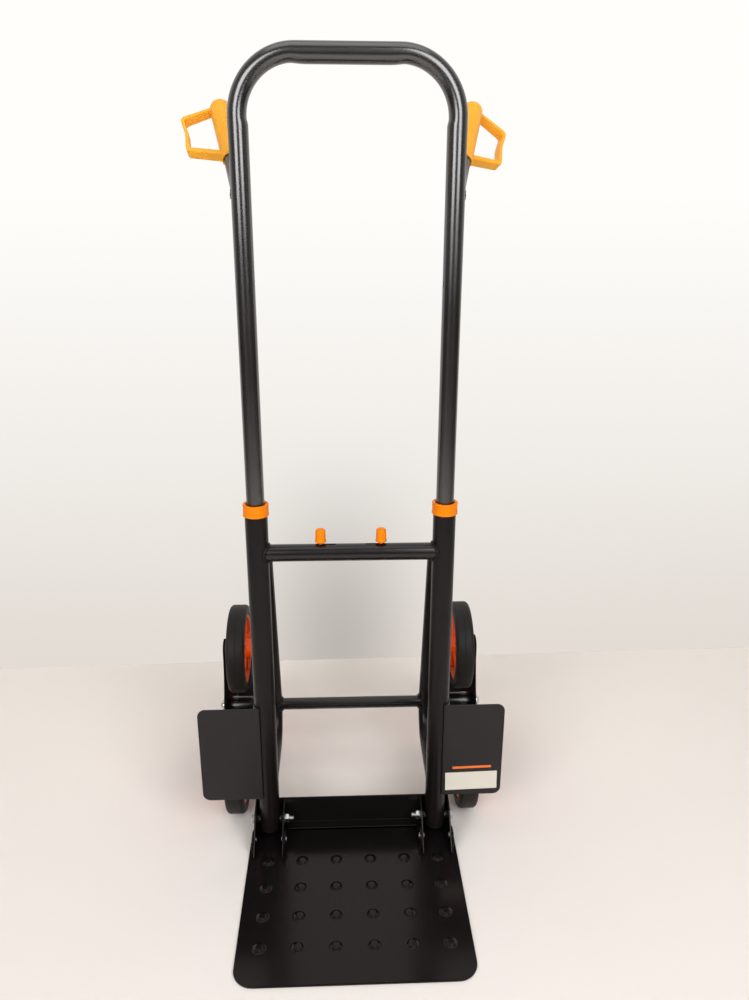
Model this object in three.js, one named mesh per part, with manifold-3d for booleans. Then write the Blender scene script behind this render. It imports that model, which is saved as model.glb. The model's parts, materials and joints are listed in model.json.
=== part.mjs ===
// A folding stair climbing hand truck: two main tubes with a pull-out handle, a folding toe plate,
// and a star of three wheels at each side that walks up steps. Lengths are in millimetres, +Z is up,
// and +X is to the right as seen from in front of the toe plate, which reaches towards -Y. The origin
// is on the floor, under the toe plate, midway between the two main tubes.

import * as THREE from 'three';
import { mergeVertices } from 'three/addons/utils/BufferGeometryUtils.js';
import Module from 'manifold-3d';

const wasm = await Module();
wasm.setup();

// Clearances
const seatGap = 0.3; // between pieces that are welded, pressed or bolted together
const runningGap = 0.3; // between pieces that turn or slide on each other
const cutOverrun = 5; // how far a cutting tool runs past the wall that it cuts
const weldTolerance = 0.001; // points of one mesh that are closer than this are one point

// How many flat sides stand for a full circle, and steps for a bend
const tubeSides = 16;
const bowSides = 12;
const smallSides = 10;
const hexSides = 6;
const wheelSides = 20;
const dimpleSides = 8;
const bendSteps = 5;
const cornerSteps = 4;

// Main tubes, which stand on either side of the middle
const tubeSpacing = 265; // between their middles
const lowerTubeRadius = 16;
const lowerTubeWall = 1.5;
const lowerTubeFootZ = 22;
const lowerTubeTopZ = 570;

// Guide collars, which cap the main tubes and centre the handle's legs in them
const collarWall = 2;
const collarSkirt = 14.5; // how far the collar hangs down outside the tube
const collarLip = 2.5; // thickness of the ring over the tube's end
const collarSleeve = 38; // how far its inner sleeve reaches down the tube

// Pull-out handle, one bent tube whose legs slide in the main tubes
const slideRoom = 2; // between a leg and the wall of its main tube, where the collar and the bush run
const handleWall = 1.5;
const handleBendRadius = 70;
const handleTopZ = 1132.5; // the middle of its cross bar
const legInsert = 140; // length of leg inside the main tube when the handle is pulled out
const handleTravel = 371; // from pulled out to pushed in
const bushFloor = 4;
const bushHeight = 18; // how far the bush wraps up round the leg

// Crossbar with the latch in it
const crossbarRadius = 12.5;
const crossbarWall = 1.5;
const crossbarDrop = 72; // from the main tubes' ends down to its middle
const latchPinRadius = 4;
const latchEngage = 5; // travel outwards, into the leg's hole
const latchSqueeze = 12; // travel inwards, when the knobs are squeezed together
const latchKnobX = 43; // from the middle of the crossbar
const latchSlotReach = 22; // how far the slot runs inwards from the knob
const sliderLength = 20;
const knobStemRadius = 1.8;
const knobLift = 1; // from the crossbar's top to the knob
const knobHeight = 22;
const knobBaseRadius = 8.2;
const knobTopRadius = 7;
const knobDome = 2;
const springRadius = 6;

// Stair grips on stems that lean back and outwards from the handle's legs
const stemRadius = 10.5;
const stemWall = 1.5;
const stemDrop = 162.5; // from the handle's cross bar down to where the stem leaves the leg
const gripSpread = 37.5; // the grip's top from there, outwards
const gripLean = 130; // backwards
const gripRise = 120; // and upwards
const gripLength = 108;
const gripWall = 1.8; // at the grip's open end
const gripTaper = 1.4; // how much wider the grip's radius is near its top
const gripDome = 7;
const stemTipInset = 12; // from the grip's top to the end of the stem inside it
const guardWidth = 13; // the hand guard is a flat band of this width
const guardThickness = 4.5;
const guardReach = 54; // from the grip's middle line to the guard's outer face
const guardRise = 93.5; // top outer corner, measured up the grip
const guardDrop = 33.5; // bottom outer corner, measured up the grip
const guardFoot = 6; // where the guard's lower bar meets the grip
const guardWave = 2.5; // depth of the finger wave in its outer bar
const leftGripTurn = 6 * THREE.MathUtils.DEG2RAD; // the grips swivel, and stand at rest like this
const rightGripTurn = 27 * THREE.MathUtils.DEG2RAD;

// Rear bows, which carry the axle
const bowRadius = 11;
const bowWall = 1.5;
const bowDrop = 94; // from the main tubes' ends down to where the bow leaves
const bowSlope = 14.5 * THREE.MathUtils.DEG2RAD; // of the long leg, from upright
const bowShoulderRadius = 40;
const bowFootGap = 3.5; // between the bow's foot and the hinge bracket under it

// Axle
const axleY = 182;
const axleRadius = 6;
const crossTubeRadius = 10.2;
const crossTubeWall = 1.5;
const axleNutRadius = 10;
const axleNutLength = 11;
const axleNutDome = 4;
const axleNutCrown = 6; // radius of the flat at the dome's end

// Wheel stars
const wheelRadius = 75;
const starRadius = 113; // from the axle to each wheel's middle
const armCount = 3;
const starPlate = 3; // plate thickness
const starStandOff = 20; // from the bow's side to the inner plate, bridged by the plate's boss
const starSpan = 49; // between the two plates
const starArmRadius = 17;
const starWaist = 22; // how close the plate's hollow sides come to the axle
const starHubRadius = 15;
const starBossRadius = 10;
const wheelBoltRadius = 5;
const wheelBoltHeadRadius = 8; // a low round head, painted with the star
const wheelBoltHead = 1;
const wheelNutRadius = 9;
const wheelNut = 6;

// Wheels
const tyreWidth = 31;
const tyreDepth = 15; // from the tread to the rim
const tyreShoulder = 5;
const rimWidth = 26;
const rimLip = 6;
const rimWeb = 4;
const rimHubRadius = 17;
const ribCount = 5;
const ribWidth = 4;
const ribDepth = 18;

// Toe plate
const plateMargin = 4.7; // from its outer tabs to its side edges
const plateFrontY = -276;
const plateThickness = 3;
const plateCorner = 28; // radius of the front corners
const plateRearCorner = 8;
const plateLipZ = 17; // top of the short lip along the rear edge
const lipThickness = 2.5;
const dimpleColumns = 6;
const dimpleRows = 4;
const dimpleSideMargin = 31.6; // from the plate's side edges to the outer columns
const dimpleFrontMargin = 59.2; // from the plate's front edge to the first row
const dimplePitchY = 53.2;
const dimpleRadius = 9.5;
const dimpleHeight = 2.5;
const dimpleCrown = 5; // radius of the flat top of a dimple
const tabReach = 14; // from the rivet to the tab's front and rear edges
const tabRise = 9; // from the rivet to the tab's top
const tabCorner = 8;

// Hinge bracket, which turns on the pivot bolts
const pivotZ = 37;
const pivotRadius = 4;
const bracketThickness = 2.5;
const bracketPlay = 2.2; // between the tubes' backs and the bracket's wall
const bracketTopZ = 61;
const bracketFootZ = 1;
const earPlay = 5; // between a tube and the ear beside it, filled by a boss round the bolt
const earBossRadius = 7;
const earTopY = -10;
const earTopZ = 55;
const earTipY = -54;
const earTipZ = 8;
const pivotHeadRadius = 7.5;
const pivotHead = 5.5;
const pivotNut = 7;
const pivotTail = 7; // thread that stands out of the nut
const rivetY = -30;
const rivetZ = 22;
const rivetRadius = 2.5;
const rivetHeadRadius = 4.5;
const rivetHead = 2;

// Label cards, each with a curved wing that hugs the outer front of its main tube
const cardThickness = 2;
const cardWing = 1.4; // thickness of the wing
const cardWingY = 6; // how far back the wing reaches round the tube
const cardInnerOffset = 7.5; // from the tube's middle outwards to the panel's inner edge
const cardOuterX = 233;
const cardBottomZ = 88;
const cardHeight = 163;
const cardCorner = 12;

// Finishes
const blackPaint = { color: 0x1e1a1b, roughness: 0.38, metalness: 0.1 };
const platePaint = { color: 0x2e2a29, roughness: 0.5, metalness: 0.1 };
const orangePlastic = { color: 0xff9010, roughness: 0.42, metalness: 0 };
const redOrangePlastic = { color: 0xf04a00, roughness: 0.45, metalness: 0 };
const tyreRubber = { color: 0x2a2826, roughness: 0.85, metalness: 0 };
const blackPlastic = { color: 0x202020, roughness: 0.6, metalness: 0 };
const cardBoard = { color: 0x322c2e, roughness: 0.55, metalness: 0 };
const zincPlate = { color: 0xc8c8c8, roughness: 0.3, metalness: 1 };
const springSteel = { color: 0x8a8c90, roughness: 0.35, metalness: 1 };

// Places that follow from the sizes above
const tubeX = tubeSpacing / 2;
const lowerBore = lowerTubeRadius - lowerTubeWall;
const boreFit = lowerBore - seatGap; // outside radius of what fits in a main tube
const handleRadius = lowerBore - slideRoom;
const crossbarZ = lowerTubeTopZ - crossbarDrop;
const legFootZ = lowerTubeTopZ - legInsert;
const stemRootZ = handleTopZ - stemDrop;
const axleZ = wheelRadius + starRadius / 2; // two wheels of a star stand on the floor
const bowTopZ = lowerTubeTopZ - bowDrop;
const bowFootZ = bracketTopZ + bowFootGap + bowRadius;
const starInnerX = tubeX + bowRadius + starStandOff; // the inner face of the inner plate
const starOuterX = starInnerX + 2 * starPlate + starSpan;
const wheelMidX = starInnerX + starPlate + starSpan / 2;
const bracketReach = lowerTubeRadius + bracketPlay; // from the pivot to the bracket's wall
const bracketRearY = bracketReach + bracketThickness;
const lipRearY = bracketReach - seatGap;
const lipFrontY = lipRearY - lipThickness;
const innerEarX = tubeX - lowerTubeRadius - earPlay - bracketThickness; // its face towards the middle
const outerEarX = tubeX + lowerTubeRadius + earPlay; // its face towards the tube
const innerTabX = innerEarX - seatGap - bracketThickness; // the tabs' faces towards the middle
const outerTabX = outerEarX + bracketThickness + seatGap;
const plateHalf = outerTabX + bracketThickness + plateMargin;
const plateTopZ = plateThickness + seatGap;
const sides = { left: -1, right: 1 };

const axisX = new THREE.Vector3(1, 0, 0);
const axisY = new THREE.Vector3(0, 1, 0);
const axisZ = new THREE.Vector3(0, 0, 1);
const place = (x, y, z) => new THREE.Vector3(x, y, z);

// A closed three.js mesh as a solid that can be joined and cut. A mesh that came out
// with its faces pointing inwards is turned round.
function solidFrom(geometry) {
  const bare = geometry.clone();
  bare.deleteAttribute('normal');
  bare.deleteAttribute('uv');
  const merged = mergeVertices(bare, weldTolerance);
  const triangles = [];
  const index = merged.index.array;
  for (let i = 0; i < index.length; i += 3) {
    const [a, b, c] = [index[i], index[i + 1], index[i + 2]];
    if (a !== b && b !== c && c !== a) triangles.push(a, b, c);
  }
  const vertProperties = merged.attributes.position.array;
  const make = (list) => {
    const mesh = new wasm.Mesh({ numProp: 3, vertProperties, triVerts: new Uint32Array(list) });
    return new wasm.Manifold(mesh);
  };
  const solid = make(triangles);
  return solid.volume() > 0 ? solid : make(triangles.reverse());
}

function geometryFrom(solid) {
  const mesh = solid.getMesh();
  const geometry = new THREE.BufferGeometry();
  geometry.setAttribute('position', new THREE.BufferAttribute(new Float32Array(mesh.vertProperties), 3));
  geometry.setIndex(new THREE.BufferAttribute(new Uint32Array(mesh.triVerts), 1));
  geometry.computeVertexNormals();
  return geometry;
}

const join = (...solids) => solids.reduce((whole, next) => whole.add(next));
const cut = (solid, ...tools) => tools.reduce((rest, tool) => rest.subtract(tool), solid);

// Turns a geometry that is built along +Y to lie along a direction, with its origin at a base.
function setAlong(geometry, base, direction) {
  const turn = new THREE.Quaternion().setFromUnitVectors(axisY, direction.clone().normalize());
  return geometry.applyQuaternion(turn).translate(base.x, base.y, base.z);
}

// A round bar from one point to another.
function bar(from, to, radius, count = smallSides) {
  const length = from.distanceTo(to);
  const geometry = new THREE.CylinderGeometry(radius, radius, length, count).translate(0, length / 2, 0);
  return solidFrom(setAlong(geometry, from, to.clone().sub(from)));
}

// A round bar along X, from one X to another, at a place in the YZ plane.
const barX = (fromX, toX, y, z, radius, count = smallSides) =>
  bar(place(fromX, y, z), place(toX, y, z), radius, count);

// A tool for a hole along X that runs past both faces.
const holeX = (lowX, highX, y, z, radius, count = smallSides) =>
  barX(lowX - cutOverrun, highX + cutOverrun, y, z, radius, count);

// A profile of [radius, distance] pairs turned about a line from a base along a direction.
// The profile starts and ends on the line, or goes round and closes on itself.
function turned(profile, base, direction, count = tubeSides) {
  const points = profile.map(([radius, distance]) => new THREE.Vector2(radius, distance));
  return solidFrom(setAlong(new THREE.LatheGeometry(points, count), base, direction));
}

// The closed profile of a plain tube.
const pipeProfile = (outer, inner, from, to) => [
  [inner, from],
  [outer, from],
  [outer, to],
  [inner, to],
  [inner, from],
];

// A flat outline in the XY plane, given thickness upwards from z = 0.
function slab(shape, thickness, curveSegments = cornerSteps) {
  const options = { depth: thickness, bevelEnabled: false, curveSegments };
  return new THREE.ExtrudeGeometry(shape, options);
}

// An outline whose two coordinates are Y and Z, given thickness along +X from a given X.
function slabAcross(shape, thickness, fromX, curveSegments = cornerSteps) {
  const turn = new THREE.Matrix4().makeBasis(axisY, axisZ, axisX);
  return solidFrom(slab(shape, thickness, curveSegments).applyMatrix4(turn).translate(fromX, 0, 0));
}

function block(lowX, highX, lowY, highY, lowZ, highZ) {
  const geometry = new THREE.BoxGeometry(highX - lowX, highY - lowY, highZ - lowZ);
  geometry.translate((lowX + highX) / 2, (lowY + highY) / 2, (lowZ + highZ) / 2);
  return solidFrom(geometry);
}

// An outline through corner points, each with a radius to round it by.
function roundedShape(corners) {
  const shape = new THREE.Shape();
  const count = corners.length;
  corners.forEach(([x, y, radius], i) => {
    const here = new THREE.Vector2(x, y);
    const back = new THREE.Vector2(...corners[(i + count - 1) % count].slice(0, 2)).sub(here).normalize();
    const on = new THREE.Vector2(...corners[(i + 1) % count].slice(0, 2)).sub(here).normalize();
    const reach = radius / Math.tan(Math.acos(back.dot(on)) / 2);
    const start = here.clone().addScaledVector(back, reach);
    const end = here.clone().addScaledVector(on, reach);
    if (i === 0) shape.moveTo(start.x, start.y);
    else shape.lineTo(start.x, start.y);
    if (radius > 0) shape.quadraticCurveTo(x, y, end.x, end.y);
  });
  shape.closePath();
  return shape;
}

// Stations along straight runs joined by round bends: where each is, and which way it heads.
function bentPath(corners, radii) {
  const stations = [];
  const heading = (i) => corners[i + 1].clone().sub(corners[i]).normalize();
  stations.push({ at: corners[0], along: heading(0) });
  for (let i = 1; i < corners.length - 1; i += 1) {
    const before = heading(i - 1);
    const angle = before.angleTo(heading(i));
    const pivotAxis = before.clone().cross(heading(i)).normalize();
    const radius = radii[i - 1];
    const start = corners[i].clone().addScaledVector(before, -radius * Math.tan(angle / 2));
    const centre = start.clone().addScaledVector(pivotAxis.clone().cross(before), radius);
    for (let step = 0; step <= bendSteps; step += 1) {
      const turn = (angle * step) / bendSteps;
      const at = start.clone().sub(centre).applyAxisAngle(pivotAxis, turn).add(centre);
      stations.push({ at, along: before.clone().applyAxisAngle(pivotAxis, turn) });
    }
  }
  stations.push({ at: corners.at(-1), along: heading(corners.length - 2) });
  return stations;
}

// A round tube, or a round bar where the inner radius is 0, along stations.
function sweptTube(stations, outer, inner, count) {
  const points = [];
  const triangles = [];
  const rings = inner > 0 ? [outer, inner] : [outer];
  let normal = Math.abs(stations[0].along.x) > Math.SQRT1_2 ? axisZ.clone() : axisX.clone();
  for (const { at, along } of stations) {
    normal = normal.addScaledVector(along, -normal.dot(along)).normalize();
    for (const radius of rings) {
      for (let k = 0; k < count; k += 1) {
        const arm = normal.clone().applyAxisAngle(along, (2 * Math.PI * k) / count);
        points.push(...at.clone().addScaledVector(arm, radius).toArray());
      }
    }
  }
  const number = (station, ring, k) => (station * rings.length + ring) * count + (k % count);
  const quad = (a, b, c, d) => triangles.push(a, b, c, a, c, d);
  const last = stations.length - 1;
  for (let k = 0; k < count; k += 1) {
    for (let s = 0; s < last; s += 1) {
      quad(number(s, 0, k), number(s, 0, k + 1), number(s + 1, 0, k + 1), number(s + 1, 0, k));
      if (inner > 0) {
        quad(number(s, 1, k), number(s + 1, 1, k), number(s + 1, 1, k + 1), number(s, 1, k + 1));
      }
    }
    if (inner > 0) {
      quad(number(0, 0, k), number(0, 1, k), number(0, 1, k + 1), number(0, 0, k + 1));
      quad(number(last, 0, k), number(last, 0, k + 1), number(last, 1, k + 1), number(last, 1, k));
    } else if (k > 1) {
      triangles.push(number(0, 0, 0), number(0, 0, k), number(0, 0, k - 1));
      triangles.push(number(last, 0, 0), number(last, 0, k - 1), number(last, 0, k));
    }
  }
  const geometry = new THREE.BufferGeometry();
  geometry.setAttribute('position', new THREE.Float32BufferAttribute(points, 3));
  geometry.setIndex(triangles);
  return solidFrom(geometry);
}

const handTruck = new THREE.Group();

function addPiece(name, solid, finish, parent = handTruck) {
  const mesh = new THREE.Mesh(geometryFrom(solid), new THREE.MeshStandardMaterial(finish));
  mesh.name = name;
  parent.add(mesh);
  return mesh;
}

// The space that a main tube or a handle leg takes, with clearance, for cutting what is welded to it.
const uprightTool = (side, radius, lowZ, highZ) =>
  bar(place(side * tubeX, 0, lowZ), place(side * tubeX, 0, highZ), radius + seatGap, tubeSides);

// A main tube. Its inner side has the hole for the latch pin, the pivot bolt crosses its foot,
// and the back of the foot is rounded about the pivot so that the bracket's wall can swing by.
function lowerTube(side) {
  const base = place(side * tubeX, 0, 0);
  const profile = pipeProfile(lowerTubeRadius, lowerBore, lowerTubeFootZ, lowerTubeTopZ);
  const lowX = base.x - lowerTubeRadius;
  const highX = base.x + lowerTubeRadius;
  const innerX = side * (tubeX - lowerTubeRadius - cutOverrun);
  const latchHole = barX(innerX, base.x, 0, crossbarZ, latchPinRadius + runningGap);
  const pivotHole = holeX(lowX, highX, 0, pivotZ, pivotRadius + runningGap);
  const behind = block(lowX, highX, 0, lowerTubeRadius + cutOverrun, 0, pivotZ);
  const swing = holeX(lowX, highX, 0, pivotZ, bracketReach - runningGap, tubeSides);
  return cut(turned(profile, base, axisZ), latchHole, pivotHole, cut(behind, swing));
}

// A guide collar: a skirt outside the tube's end, a ring over it and a sleeve inside it.
function collar(side) {
  const bore = handleRadius + runningGap;
  const skirtInner = lowerTubeRadius + seatGap;
  const skirtOuter = skirtInner + collarWall;
  const seat = lowerTubeTopZ + seatGap;
  const profile = [
    [bore, seat - collarSleeve],
    [boreFit, seat - collarSleeve],
    [boreFit, seat],
    [skirtInner, seat],
    [skirtInner, seat - collarSkirt],
    [skirtOuter, seat - collarSkirt],
    [skirtOuter, seat + collarLip - collarWall / 2],
    [skirtOuter - collarWall / 2, seat + collarLip],
    [bore, seat + collarLip],
    [bore, seat - collarSleeve],
  ];
  return turned(profile, place(side * tubeX, 0, 0), axisZ);
}

// The crossbar between the main tubes, saddle-cut at its ends, with a slot on top for each knob.
function crossbar() {
  const bore = crossbarRadius - crossbarWall;
  const stations = bentPath([place(-tubeX, 0, crossbarZ), place(tubeX, 0, crossbarZ)], []);
  const slots = Object.values(sides).map((side) => {
    const outer = side * (latchKnobX + latchEngage + knobStemRadius + runningGap);
    const inner = side * (latchKnobX - latchSlotReach);
    const half = knobStemRadius + runningGap;
    const top = crossbarZ + crossbarRadius + cutOverrun;
    return block(Math.min(outer, inner), Math.max(outer, inner), -half, half, crossbarZ, top);
  });
  const low = crossbarZ - 2 * crossbarRadius;
  const high = crossbarZ + 2 * crossbarRadius;
  const saddles = Object.values(sides).map((side) => uprightTool(side, lowerTubeRadius, low, high));
  return cut(sweptTube(stations, crossbarRadius, bore, tubeSides), ...saddles, ...slots);
}

// The bow's stations in the plane of its main tube. It leaves the tube level, bends down along a
// slope, bends forward round the heel and comes back level. The axle crosses it where it is rearmost.
function bowStations(side) {
  const heelRadius = axleZ - bowFootZ;
  const heelReach = (heelRadius * (1 + Math.sin(bowSlope))) / Math.cos(bowSlope);
  const heelY = axleY - heelRadius + heelReach;
  const shoulderY = heelY - (bowTopZ - bowFootZ) * Math.tan(bowSlope);
  const outline = [
    [0, bowTopZ],
    [shoulderY, bowTopZ],
    [heelY, bowFootZ],
    [0, bowFootZ],
  ];
  return bentPath(
    outline.map(([y, z]) => place(side * tubeX, y, z)),
    [bowShoulderRadius, heelRadius],
  );
}

function rearBow(side) {
  const tube = sweptTube(bowStations(side), bowRadius, bowRadius - bowWall, bowSides);
  const upright = uprightTool(side, lowerTubeRadius, 0, lowerTubeTopZ);
  const x = side * tubeX;
  const axleHole = holeX(x - bowRadius, x + bowRadius, axleY, axleZ, axleRadius + seatGap);
  return cut(tube, upright, axleHole);
}

// The tube round the axle between the bows, saddle-cut where it is welded to them.
function crossTube() {
  const bore = crossTubeRadius - crossTubeWall;
  const profile = pipeProfile(crossTubeRadius, bore, -tubeX, tubeX);
  const saddles = Object.values(sides).map((side) =>
    sweptTube(bowStations(side), bowRadius + seatGap, 0, bowSides),
  );
  return cut(turned(profile, place(0, axleY, axleZ), axisX, bowSides), ...saddles);
}

// The dome nut that holds a star on the axle, open towards the axle's end.
function axleNut(side) {
  const bore = axleRadius + seatGap;
  const start = starOuterX + runningGap;
  const end = start + axleNutLength;
  const floor = end - axleNutDome;
  const profile = [
    [0, end],
    [axleNutCrown, end],
    [axleNutRadius, floor],
    [axleNutRadius, start],
    [bore, start],
    [bore, floor],
    [0, floor],
  ];
  return turned(profile, place(0, axleY, axleZ), place(side, 0, 0), smallSides);
}

// A label card: a flat panel in front of the tube, with a wing round the tube's outer front. The
// panel's back meets the wing's inner face at the panel's inner edge.
function labelCard(side) {
  const wingInner = lowerTubeRadius + seatGap;
  const wingOuter = wingInner + cardWing;
  const innerX = side * (tubeX + cardInnerOffset);
  const front = -(Math.sqrt(wingInner ** 2 - cardInnerOffset ** 2) + cardThickness);
  const top = cardBottomZ + cardHeight;
  const profile = pipeProfile(wingOuter, wingInner, cardBottomZ, top);
  const ring = turned(profile, place(side * tubeX, 0, 0), axisZ);
  const reach = wingOuter + cutOverrun;
  const low = cardBottomZ - cutOverrun;
  const high = top + cutOverrun;
  const inside = [side * (tubeX - reach), innerX].sort((a, b) => a - b);
  const innerPart = block(...inside, -reach, reach, low, high);
  const behind = block(side * tubeX - reach, side * tubeX + reach, cardWingY, reach, low, high);
  const corners = [
    [innerX, cardBottomZ, 0],
    [side * cardOuterX, cardBottomZ, cardCorner],
    [side * cardOuterX, top, cardCorner],
    [innerX, top, 0],
  ];
  const turn = new THREE.Matrix4().makeBasis(axisX, axisZ, axisY);
  const panel = slab(roundedShape(corners), cardThickness).applyMatrix4(turn).translate(0, front, 0);
  return join(cut(ring, innerPart, behind), solidFrom(panel));
}

function addFrame() {
  for (const [name, side] of Object.entries(sides)) {
    addPiece(`${name}_lower_tube`, lowerTube(side), blackPaint);
    addPiece(`${name}_guide_collar`, collar(side), orangePlastic);
    addPiece(`${name}_rear_bow`, rearBow(side), blackPaint);
    addPiece(`${name}_axle_nut`, axleNut(side), zincPlate);
    addPiece(`${name}_label_card`, labelCard(side), cardBoard);
  }
  addPiece('crossbar', crossbar(), blackPaint);
  addPiece('cross_tube', crossTube(), blackPaint);
  const axleEnd = starOuterX + axleNutLength - axleNutDome;
  addPiece('axle_rod', barX(-axleEnd, axleEnd, axleY, axleZ, axleRadius), zincPlate);
  const springEnd = latchKnobX - sliderLength / 2 - seatGap;
  addPiece('latch_spring', barX(-springEnd, springEnd, 0, crossbarZ, springRadius), springSteel);
}

// The handle: one tube up, over and down, with two latch holes in the inner side of each leg.
function handleTube() {
  const corners = [
    place(-tubeX, 0, legFootZ),
    place(-tubeX, 0, handleTopZ),
    place(tubeX, 0, handleTopZ),
    place(tubeX, 0, legFootZ),
  ];
  const stations = bentPath(corners, [handleBendRadius, handleBendRadius]);
  const holes = Object.values(sides).flatMap((side) =>
    [crossbarZ, crossbarZ + handleTravel].map((z) => {
      const inner = side * (tubeX - handleRadius - cutOverrun);
      return barX(inner, side * tubeX, 0, z, latchPinRadius + runningGap);
    }),
  );
  return cut(sweptTube(stations, handleRadius, handleRadius - handleWall, tubeSides), ...holes);
}

// The plastic bush on a leg's foot, a cup that runs in the main tube.
function legBush(side) {
  const floorTop = legFootZ - seatGap;
  const bottom = floorTop - bushFloor;
  const profile = [
    [0, bottom],
    [boreFit, bottom],
    [boreFit, floorTop + bushHeight],
    [handleRadius + seatGap, floorTop + bushHeight],
    [handleRadius + seatGap, floorTop],
    [0, floorTop],
  ];
  return turned(profile, place(side * tubeX, 0, 0), axisZ);
}

// Where a grip's stem starts in its leg, where the grip ends, and the direction in which it leans.
function gripLine(side) {
  const root = place(side * tubeX, 0, stemRootZ);
  const lean = place(side * gripSpread, gripLean, gripRise);
  return { root, top: root.clone().add(lean), along: lean.clone().normalize() };
}

function gripStem(side) {
  const { root, top, along } = gripLine(side);
  const tip = top.clone().addScaledVector(along, -stemTipInset);
  const profile = pipeProfile(stemRadius, stemRadius - stemWall, 0, root.distanceTo(tip));
  const leg = uprightTool(side, handleRadius, stemRootZ - gripLength, stemRootZ + gripLength);
  return cut(turned(profile, root, along), leg);
}

// A stair grip: a domed sleeve over the stem, with a flat hand guard that loops out from it.
function grip(side, turn) {
  const { top, along } = gripLine(side);
  const base = top.clone().addScaledVector(along, -gripLength);
  const bore = stemRadius + runningGap;
  const topRadius = bore + gripWall + gripTaper;
  const profile = [
    [bore, 0],
    [bore + gripWall, 0],
    [topRadius, gripLength - gripDome],
    [topRadius - gripDome / 3, gripLength - gripDome / 3],
    [topRadius - gripDome, gripLength],
    [0, gripLength],
    [0, gripLength - stemTipInset + seatGap],
    [bore, gripLength - stemTipInset + seatGap],
    [bore, 0],
  ];
  const outward = place(side, 0, 0).projectOnPlane(along).normalize();
  const acrossGuard = along.clone().cross(outward).normalize();
  outward.applyAxisAngle(along, side * turn);
  acrossGuard.applyAxisAngle(along, side * turn);
  const frame = new THREE.Matrix4().makeBasis(outward, along, acrossGuard).setPosition(base);
  const guard = slab(guardShape(bore + gripWall / 2), guardWidth).translate(0, 0, -guardWidth / 2);
  const clearance = bar(base, base.clone().addScaledVector(along, gripLength - gripDome), bore, tubeSides);
  return join(turned(profile, base, along), cut(solidFrom(guard.applyMatrix4(frame)), clearance));
}

// The guard's outline beside the sleeve: across is the distance from the sleeve's middle line, and
// up is the distance along it. The outer bar waves in once, for the fingers.
function guardShape(root) {
  const wave = guardReach - guardWave;
  const middle = (guardRise + guardDrop) / 2;
  const corner = guardThickness;
  const shape = roundedShape([
    [0, guardFoot, 0],
    [root, guardFoot, 0],
    [guardReach, guardDrop - guardThickness, corner],
    [guardReach, guardDrop + guardThickness, corner],
    [wave, middle, corner],
    [guardReach, guardRise - guardThickness, corner],
    [guardReach - guardThickness / 2, guardRise, guardThickness / 4],
    [root, gripLength - gripDome, 0],
    [0, gripLength - gripDome, 0],
  ]);
  const hole = roundedShape([
    [root, guardFoot + 2 * guardThickness, 0],
    [guardReach - guardThickness, guardDrop, corner],
    [wave - guardThickness, middle, corner],
    [guardReach - guardThickness, guardRise - guardThickness, corner],
    [root, gripLength - gripDome - guardThickness, 0],
  ]);
  shape.holes.push(hole);
  return shape;
}

function addHandle() {
  addPiece('handle_tube', handleTube(), blackPaint);
  for (const [name, side] of Object.entries(sides)) {
    addPiece(`${name}_leg_bush`, legBush(side), blackPlastic);
    addPiece(`${name}_grip_stem`, gripStem(side), blackPaint);
  }
  addPiece('left_stair_grip', grip(sides.left, leftGripTurn), orangePlastic);
  addPiece('right_stair_grip', grip(sides.right, rightGripTurn), orangePlastic);
}

// A latch slide: a block that runs in the crossbar, the pin that locks the leg and the knob's stem.
function latchPin(side) {
  const blockEnd = latchKnobX + sliderLength / 2;
  const tip = tubeX - handleRadius - runningGap;
  const sliderRadius = crossbarRadius - crossbarWall - runningGap;
  const profile = [
    [0, latchKnobX - sliderLength / 2],
    [sliderRadius, latchKnobX - sliderLength / 2],
    [sliderRadius, blockEnd],
    [latchPinRadius, blockEnd],
    [latchPinRadius, tip],
    [0, tip],
  ];
  const slide = turned(profile, place(0, 0, crossbarZ), place(side, 0, 0), bowSides);
  const stemTop = crossbarZ + crossbarRadius + knobLift + knobHeight / 2;
  const x = side * latchKnobX;
  return join(slide, bar(place(x, 0, crossbarZ), place(x, 0, stemTop), knobStemRadius));
}

// A squeeze knob, pressed on the stem that comes up through the crossbar's slot.
function latchKnob(side) {
  const bottom = crossbarZ + crossbarRadius + knobLift;
  const top = bottom + knobHeight;
  const socket = knobStemRadius + seatGap;
  const socketTop = bottom + knobHeight / 2 + seatGap;
  const profile = [
    [socket, bottom],
    [knobBaseRadius, bottom],
    [knobTopRadius, top - knobDome],
    [knobTopRadius - knobDome, top],
    [0, top],
    [0, socketTop],
    [socket, socketTop],
    [socket, bottom],
  ];
  return turned(profile, place(side * latchKnobX, 0, 0), axisZ, bowSides);
}

function addLatches() {
  for (const [name, side] of Object.entries(sides)) {
    addPiece(`${name}_latch_pin`, latchPin(side), zincPlate);
    addPiece(`${name}_latch_knob`, latchKnob(side), orangePlastic);
  }
}

// The toe plate: a sheet with a short lip along the rear, pressed dimples, and four upright tabs
// that the bracket's ears are riveted to.
function toePlate() {
  const outline = roundedShape([
    [-plateHalf, plateFrontY, plateCorner],
    [plateHalf, plateFrontY, plateCorner],
    [plateHalf, lipRearY, plateRearCorner],
    [-plateHalf, lipRearY, plateRearCorner],
  ]);
  const pieces = [
    solidFrom(slab(outline, plateThickness)),
    block(-innerTabX, innerTabX, lipFrontY, lipRearY, 0, plateLipZ),
  ];
  const firstX = dimpleSideMargin - plateHalf;
  const pitchX = (2 * (plateHalf - dimpleSideMargin)) / (dimpleColumns - 1);
  for (let row = 0; row < dimpleRows; row += 1) {
    const y = plateFrontY + dimpleFrontMargin + row * dimplePitchY;
    for (let column = 0; column < dimpleColumns; column += 1) {
      pieces.push(dimple(firstX + column * pitchX, y));
    }
  }
  for (const side of Object.values(sides)) {
    for (const tabX of [innerTabX, outerTabX]) pieces.push(tab(lowFace(side, tabX)));
  }
  return join(...pieces);
}

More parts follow.
